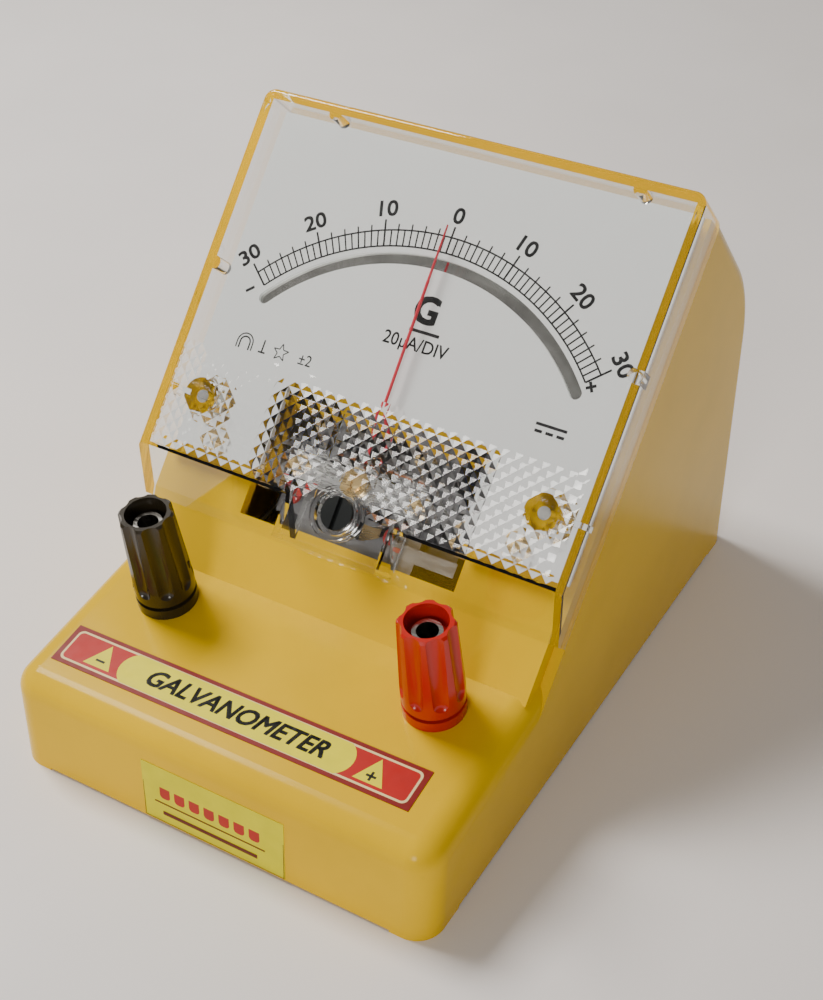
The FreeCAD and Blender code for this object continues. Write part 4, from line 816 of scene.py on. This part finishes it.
@dataclass
class Dial:
    """The printed scale, figures and symbols, and the mirror."""

    outer: float = 49.5
    inner: float = 46.4
    division: float = 1.61
    span: int = 30
    line: float = 0.32
    tick: float = 0.3
    major_tick: float = 0.38
    medium_reach: float = 50.7
    major_reach: float = 51.6
    figure_radius: float = 53.6
    figure_height: float = 3.0
    signs: tuple[tuple[str, float, float], ...] = (("-", 47.5, -51.8), ("+", 47.1, 49.8))
    sign_lean: float = 12.0
    sign_size: Place = (0.55, 2.0)
    symbol_up: float = 19.2

    def build(self) -> None:
        """Dresses the plate and prints on it."""
        panel = panel_plane()
        dress(["dial_plate"], Ink("dial_enamel", (0.86, 0.885, 0.89), 0.5, 0.985).make())
        dress(["mirror_strip"], Metal("silvered_mirror", (0.75, 0.75, 0.72), (0.04, 0.1), Shape.EVEN).make())
        ink = Ink("dial_black_ink", (0.012, 0.012, 0.014), 0.5, 0.8).make()
        sheet = Print(panel.span("dial_plate")[1].z / MM)
        self.scale(sheet)
        self.figures(sheet)
        self.symbols(sheet)
        sheet.finish("dial_print", panel, ink)

    def scale(self, sheet: Print) -> None:
        """The two arcs and the ticks."""
        end = self.span * self.division
        for radius in (self.outer, self.inner):
            sheet.arc((0.0, 0.0), radius, self.line, -end, end, 96)
        for count in range(-self.span, self.span + 1):
            reach = self.outer
            if count % 2 == 0:
                reach = self.medium_reach
            if count % 10 == 0:
                reach = self.major_reach
            width = self.major_tick if count % 10 == 0 else self.tick
            sheet.ray((self.inner, reach), count * self.division, width)

    def figures(self, sheet: Print) -> None:
        """The numbers along the scale and the signs at its ends."""
        for count in range(-self.span, self.span + 1, 10):
            turn = count * self.division
            angle = math.radians(turn)
            place = (self.figure_radius * math.sin(angle), self.figure_radius * math.cos(angle))
            sheet.words(str(abs(count)), place, self.figure_height, turn, 0.03, 0.0, 1.12)
        width, length = self.sign_size
        for sign, radius, turn in self.signs:
            angle = math.radians(turn)
            place = (radius * math.sin(angle), radius * math.cos(angle))
            sheet.bar(place, length, width, turn + self.sign_lean)
            if sign == "+":
                sheet.bar(place, width, length, turn + self.sign_lean)

    def symbols(self, sheet: Print) -> None:
        """The letter for the instrument, the unit and the small meter symbols."""
        sheet.words("G", (0.4, 34.9), 5.1, 0.0, 0.045, 0.0, 1.0)
        sheet.bar((1.4, 31.0), 6.4, 0.62)
        sheet.words("20µA/DIV", (0.5, 28.3), 2.5, 0.0, 0.012, 0.0, 0.94)
        self.magnet(sheet, (-34.3, self.symbol_up))
        sheet.bar((-30.1, self.symbol_up + 0.2), 0.32, 2.6)
        sheet.bar((-30.1, self.symbol_up - 1.0), 1.6, 0.32)
        self.star(sheet, (-26.0, self.symbol_up + 0.1))
        sheet.words("±2", (-20.4, self.symbol_up), 2.2, 0.0, 0.0, 0.0, 0.9)
        sheet.bar((31.6, self.symbol_up + 2.2), 6.2, 0.55)
        for step in (-1, 0, 1):
            sheet.bar((31.6 + 2.2 * step, self.symbol_up + 0.9), 1.5, 0.55)

    @staticmethod
    def magnet(sheet: Print, centre: Place) -> None:
        """The horseshoe that marks a moving-coil instrument.

        Args:
            sheet: The print that it joins.
            centre: Middle of its bow, in millimetres.
        """
        for radius, width in ((1.1, 0.3), (1.75, 0.25)):
            sheet.arc(centre, radius, width, -90.0, 90.0, 16)
            for side in (-1, 1):
                sheet.bar((centre[0] + side * radius, centre[1] - 0.7), width, 1.4)

    @staticmethod
    def star(sheet: Print, centre: Place) -> None:
        """The five-pointed star of the insulation test.

        Args:
            sheet: The print that it joins.
            centre: Its middle, in millimetres.
        """
        points = []
        for i, radius in enumerate((1.75, 0.75) * 5):
            angle = math.radians(36 * i)
            points.append(Vector((centre[0] + radius * math.sin(angle), centre[1] + radius * math.cos(angle))))
        for first, second in zip(points, points[1:] + points[:1]):
            side = second - first
            lean = math.degrees(math.atan2(side.x, side.y))
            sheet.bar(tuple((first + second) / 2), 0.2, side.length, lean)


@dataclass
class Movement:
    """Frame, magnet, bridges and leads seen through the window.

    Each bead of lacquer is a middle and three half-widths, in millimetres.
    """

    beads: tuple[tuple[tuple[float, float, float], tuple[float, float, float]], ...] = (
        ((-15.6, -5.4, 1.2), (1.2, 1.9, 0.7)),
        ((7.2, -7.0, 3.3), (0.8, 1.5, 0.5)),
        ((9.4, -8.2, 3.3), (1.1, 0.5, 0.4)))

    def build(self) -> None:
        """Dresses the movement's nodes."""
        dress(["movement_frame"], Metal("frame_plate", (0.2, 0.2, 0.205), (0.35, 0.55)).make())
        dress(["pole_pieces", "core"],
              Metal("soft_iron", (0.3, 0.3, 0.31), (0.35, 0.55), Shape.DRAWN_ALONG_Z).make())
        dress(["magnet"], Metal("magnet_alloy", (0.16, 0.16, 0.17), (0.5, 0.7), Shape.EVEN).make())
        dress(["back_plate", "core_clamp", "dial_screws", "pointer_stops", "bridge_screws",
               "front_jewel_screw", "rear_jewel_screw", "lock_nuts", "movement_lugs"],
              Metal("turned_brass", (0.78, 0.57, 0.27), (0.2, 0.4)).make())
        dress(["front_bridge", "rear_bridge", "zero_lever"],
              Metal("bright_alloy", (0.78, 0.78, 0.78), (0.2, 0.36)).make())
        dress(["jewels"], Ink("ruby", (0.5, 0.03, 0.08), 0.15).make())
        dress(["black_lead"], Moulding("black_sleeving", (0.02, 0.02, 0.02), (0.08, 0.07, 0.06)).make())
        dress(["red_lead"], Moulding("red_sleeving", (0.45, 0.02, 0.015), (0.2, 0.05, 0.03)).make())
        self.lacquer()

    def lacquer(self) -> None:
        """Beads of red sealing lacquer beside the adjuster."""
        panel = panel_plane()
        bm = bmesh.new()
        for centre, size in self.beads:
            place = Matrix.Translation(Vector(centre) * MM)
            squash = Matrix.Diagonal((Vector(size) * MM).to_4d())
            bmesh.ops.create_icosphere(bm, subdivisions=3, radius=1.0, matrix=place @ squash)
        bead = Moulding("sealing_lacquer", (0.5, 0.03, 0.03), (0.3, 0.02, 0.02), (0.12, 0.25)).make()
        piece("lacquer_beads", bm, panel, bead, Body.CASE, 80.0)


@dataclass
class MovingCoil:
    """Coil, staffs, springs, needle and balance weights."""

    def build(self) -> None:
        """Dresses the moving parts."""
        dress(["coil_winding"], Winding("enamelled_wire", (0.6, 0.24, 0.1)).make())
        dress(["coil_former", "balance_arms"], Metal("thin_aluminium", (0.8, 0.8, 0.8), (0.25, 0.4)).make())
        dress(["pivot_staffs", "adjuster_clip"], Metal("hard_steel", (0.5, 0.5, 0.52), (0.1, 0.25)).make())
        dress(["front_hairspring", "rear_hairspring"],
              Metal("spring_bronze", (0.8, 0.5, 0.24), (0.2, 0.3)).make())
        dress(["balance_weights"], Metal("weight_brass", (0.76, 0.56, 0.28), (0.25, 0.4), Shape.EVEN).make())
        dress(["pointer"], Ink("needle_red", (0.72, 0.045, 0.07), 0.35, 0.95).make())


@dataclass
class ZeroAdjuster:
    """The black slotted disc in the cover."""

    def build(self) -> None:
        """Dresses the adjuster."""
        disc = Moulding("adjuster_black_moulding", (0.012, 0.014, 0.014), (0.08, 0.08, 0.075), (0.3, 0.45))
        dress(["zero_adjuster"], disc.make())


@dataclass
class BindingPost:
    """One binding post: flange, stem, washer and fluted cap."""

    word: str
    colour: Rgb
    grime: Rgb
    body: Body
    flash: bool = False
    flash_size: tuple[float, float, float] = (0.9, 0.7, 1.5)
    flash_at: tuple[float, float, float] = (5.55, 0.0, 9.2)
    flash_turn: float = 26.0

    def build(self) -> None:
        """Dresses the post and adds its moulding flash."""
        name = self.word + "_post_moulding"
        plastic = Moulding(name, self.colour, self.grime, (0.16, 0.3), 0.02 * MM).make()
        dress([self.word + "_cap", self.word + "_terminal_base"], plastic)
        if self.flash:
            self.add_flash(plastic)

    def add_flash(self, plastic: bpy.types.Material) -> None:
        """Adds the nib that the mould left on the cap's side.

        Args:
            plastic: The cap's finish.
        """
        bm = bmesh.new()
        bmesh.ops.create_cube(bm, size=1.0)
        bmesh.ops.scale(bm, vec=Vector(self.flash_size) * MM, verts=bm.verts)
        bmesh.ops.bevel(bm, geom=[*bm.edges], offset=0.15 * MM, offset_type="OFFSET", segments=2, profile=0.5,
                        affect="EDGES", material=-1, clamp_overlap=True)
        bmesh.ops.translate(bm, verts=bm.verts, vec=Vector(self.flash_at) * MM)
        turn = Matrix.Rotation(math.radians(self.flash_turn), 3, "Z")
        bmesh.ops.rotate(bm, verts=bm.verts, cent=(0.0, 0.0, 0.0), matrix=turn)
        piece(self.word + "_cap_flash", bm, post_plane(self.word), plastic, self.body)


@dataclass
class Labels:
    """The printed strip on the deck and the sticker on the front."""

    length: float = 77.4
    width: float = 9.1
    turn: float = 0.6
    field_left: float = -25.6
    field_right: float = 25.2
    triangles: tuple[float, float] = (-29.6, 29.4)
    bow: float = 62.0
    film: float = 0.006
    rule_length: float = 24.5
    block_step: float = 3.3

    def turned(self, corners: Iterable[Place]) -> list[Place]:
        """Turns an outline with the strip.

        Args:
            corners: Points about the strip's middle.

        Returns:
            The turned points.
        """
        sine, cosine = math.sin(math.radians(self.turn)), math.cos(math.radians(self.turn))
        return [(x * cosine - y * sine, x * sine + y * cosine) for x, y in corners]

    def build(self) -> None:
        """Dresses the strip and the sticker and prints on them."""
        cream = Ink("label_cream_ink", (0.95, 0.72, 0.34), 0.35).make()
        dress(["label_strip"], Ink("label_maroon_ink", (0.24, 0.012, 0.008), 0.35).make())
        plane = label_plane()
        sheet = Print(0.0, self.film)
        sheet.patch(self.turned(rounded(self.length - 2.1, self.width - 1.7, 1.2)))
        sheet.finish("label_border", plane, cream)
        sheet = Print(self.film, self.film)
        sheet.patch(self.turned(rounded(self.length - 3.0, self.width - 2.6, 0.9)))
        red = Ink("label_red_ink", (0.52, 0.012, 0.008), 0.35).make()
        sheet.finish("label_red_field", plane, red)
        lemon = Ink("label_lemon_ink", (0.90, 0.80, 0.0), 0.35).make()
        sheet = Print(2 * self.film, self.film)
        sheet.patch(self.turned(self.lemon_field(self.width / 2 - 1.0)))
        sheet.finish("label_lemon_field", plane, lemon)
        sheet = Print(2 * self.film, self.film)
        for middle in self.triangles:
            sheet.patch(self.turned([(middle - 3.0, -2.6), (middle + 3.0, -2.6), (middle, 2.9)]))
        sheet.finish("label_triangles", plane, lemon)
        ink = Ink("label_black_ink", (0.02, 0.022, 0.012), 0.4, 0.8).make()
        sheet = Print(3 * self.film, self.film)
        sheet.words("GALVANOMETER", (0.0, -0.1), 3.6, -self.turn, 0.04, 0.28, 0.98)
        for middle in self.triangles:
            sheet.bar(self.turned([(middle, -1.1)])[0], 2.0, 0.5, -self.turn)
        sheet.bar(self.turned([(self.triangles[1], -1.1)])[0], 0.5, 2.0, -self.turn)
        sheet.finish("label_words", plane, ink)
        self.sticker()

    def lemon_field(self, half: float, steps: int = 10) -> list[Place]:
        """The middle field with bowed ends.

        Args:
            half: Half of its height.
            steps: Straight stretches in each end.

        Returns:
            Its outline.
        """
        outline: list[Place] = []
        radius = half / math.sin(math.radians(self.bow))
        for end, side in ((self.field_right, 1), (self.field_left, -1)):
            for step in range(steps + 1):
                angle = math.radians(self.bow * (2 * step / steps - 1))
                outline.append((end - side * radius * (1 - math.cos(angle)), side * radius * math.sin(angle)))
        return outline

    def sticker(self) -> None:
        """The front sticker: two rules and a row of plain blocks stand for its wording."""
        dress(["front_sticker"], Ink("sticker_film", (0.80, 0.72, 0.0), 0.4).make())
        plane = sticker_plane()
        dark = Ink("sticker_dark_ink", (0.16, 0.03, 0.015), 0.4).make()
        sheet = Print(0.0, self.film)
        for rise in (5.0, -2.0):
            sheet.bar((-0.8, rise), self.rule_length, 0.35)
        for rise in (6.75, -6.75):
            sheet.bar((0.0, rise), 31.0, 0.12)
        for side in (-1, 1):
            sheet.bar((side * 15.45, 0.0), 0.12, 13.5)
        sheet.bar((-0.8, -4.4), 21.0, 0.9)
        sheet.finish("sticker_rules", plane, dark)
        sheet = Print(0.0, self.film)
        for step in range(7):
            left = self.block_step * step - 10.6
            sheet.patch([(left + x, y + 1.5) for x, y in rounded(2.3, 4.4, 0.8, 4)])
        red = Ink("sticker_red_ink", (0.5, 0.03, 0.02), 0.4).make()
        sheet.finish("sticker_blocks", plane, red)


@dataclass
class Hardware:
    """Nickelled stems, washers, nuts and tags, and the insulators."""

    def build(self) -> None:
        """Dresses the posts' metal and fibre parts."""
        nickel = Metal("nickel_plate", (0.78, 0.75, 0.7), (0.08, 0.24), Shape.DRAWN_ALONG_X).make()
        dress(["black_stem", "red_stem", "black_clamp_washer", "red_clamp_washer", "post_nuts",
               "solder_tags"], nickel)
        fibre = Moulding("fibre_washer", (0.05, 0.045, 0.04), (0.1, 0.09, 0.08), (0.5, 0.7))
        dress(["post_insulators"], fibre.make())


# ---------------------------------------------------------------- studio
@dataclass
class Studio:
    """Floor, lamps and camera."""

    camera_at: tuple[float, float, float] = (0.12724, -0.21240, 0.22001)
    azimuth: float = 29.96
    elevation: float = 39.3
    roll: float = -0.37
    lens: float = 56.02
    shift: Place = (-0.0079, 0.0731)
    floor_colour: Rgb = (0.95, 0.905, 0.885)
    floor_half: float = 3.0
    aim: tuple[float, float, float] = (0.0, 0.0, 0.04)
    room_light: float = 0.22

    def build(self) -> None:
        """Sets the stage."""
        self.floor()
        self.lamp("key", (-0.46, 0.02, 0.70), 0.30, 7.4, (1.0, 0.97, 0.92))
        self.lamp("fill", (0.16, -0.85, 0.30), 0.24, 2.9, (1.0, 0.97, 0.94))
        world = bpy.data.worlds.new("soft_room")
        world.use_nodes = True
        air = world.node_tree.nodes["Background"]
        air.inputs["Color"].default_value = (1.0, 0.965, 0.93, 1.0)
        air.inputs["Strength"].default_value = self.room_light
        bpy.context.scene.world = world
        self.camera()

    def floor(self) -> None:
        """A plain pale sheet under everything."""
        bm = bmesh.new()
        bmesh.ops.create_grid(bm, x_segments=8, y_segments=8, size=self.floor_half)
        mesh = bpy.data.meshes.new("floor")
        bm.to_mesh(mesh)
        bm.free()
        recipe = Recipe("pale_floor")
        shade = recipe.between(recipe.noise(5.0, 2.0), 0.3, 0.7)
        deep = tuple(0.93 * part for part in self.floor_colour)
        recipe.feed(recipe.shader.inputs["Base Color"], recipe.blend(shade, self.floor_colour, deep))
        gloss = recipe.between(recipe.noise(30.0, 3.0), 0.3, 0.7, 0.5, 0.65)
        recipe.feed(recipe.shader.inputs["Roughness"], gloss)
        mesh.materials.append(recipe.material)
        sheet = bpy.data.objects.new("floor", mesh)
        bpy.context.scene.collection.objects.link(sheet)

    def lamp(self, name: str, place: tuple[float, float, float], size: float, power: float,
             colour: Rgb) -> None:
        """Adds a soft square lamp that faces the instrument.

        Args:
            name: The lamp's name.
            place: Where it hangs, in metres.
            size: Its side in metres.
            power: Its power in watts.
            colour: Colour of its light.
        """
        data = bpy.data.lights.new(name, "AREA")
        data.shape = "SQUARE"
        data.size = size
        data.energy = power
        data.color = colour
        lamp = bpy.data.objects.new(name, data)
        lamp.location = place
        aim = Vector(self.aim) - Vector(place)
        lamp.rotation_euler = aim.to_track_quat("-Z", "Y").to_euler()
        bpy.context.scene.collection.objects.link(lamp)

    def camera(self) -> None:
        """The camera at the object's viewing angle."""
        azimuth, elevation, roll = map(math.radians, (self.azimuth, self.elevation, self.roll))
        back = Vector((math.sin(azimuth) * math.cos(elevation), -math.cos(azimuth) * math.cos(elevation),
                       math.sin(elevation)))
        level = Vector((math.cos(azimuth), math.sin(azimuth), 0.0))
        rise = back.cross(level)
        right = math.cos(roll) * level - math.sin(roll) * rise
        up = math.sin(roll) * level + math.cos(roll) * rise
        data = bpy.data.cameras.new("camera")
        data.sensor_fit = "VERTICAL"
        data.sensor_height = 36.0
        data.lens = self.lens
        data.shift_x, data.shift_y = self.shift
        data.clip_start = 0.01
        camera = bpy.data.objects.new("camera", data)
        turn = Matrix((right, up, back)).transposed().to_4x4()
        camera.matrix_world = Matrix.Translation(self.camera_at) @ turn
        bpy.context.scene.collection.objects.link(camera)
        bpy.context.scene.camera = camera


def main() -> None:
    """Builds every sub-assembly in order."""
    logging.basicConfig(level=logging.INFO, format="%(message)s")
    parts = [
        Casework(), MeterCover(), Dial(), Movement(), MovingCoil(), ZeroAdjuster(),
        BindingPost("black", (0.028, 0.021, 0.011), (0.10, 0.075, 0.04), Body.BLACK_CAP, flash=True),
        BindingPost("red", (0.55, 0.012, 0.004), (0.3, 0.01, 0.005), Body.RED_CAP),
        Hardware(), Labels(), Studio(),
    ]
    for part in parts:
        part.build()
        log.info("built %s", type(part).__name__)


if __name__ == "__main__":
    main()
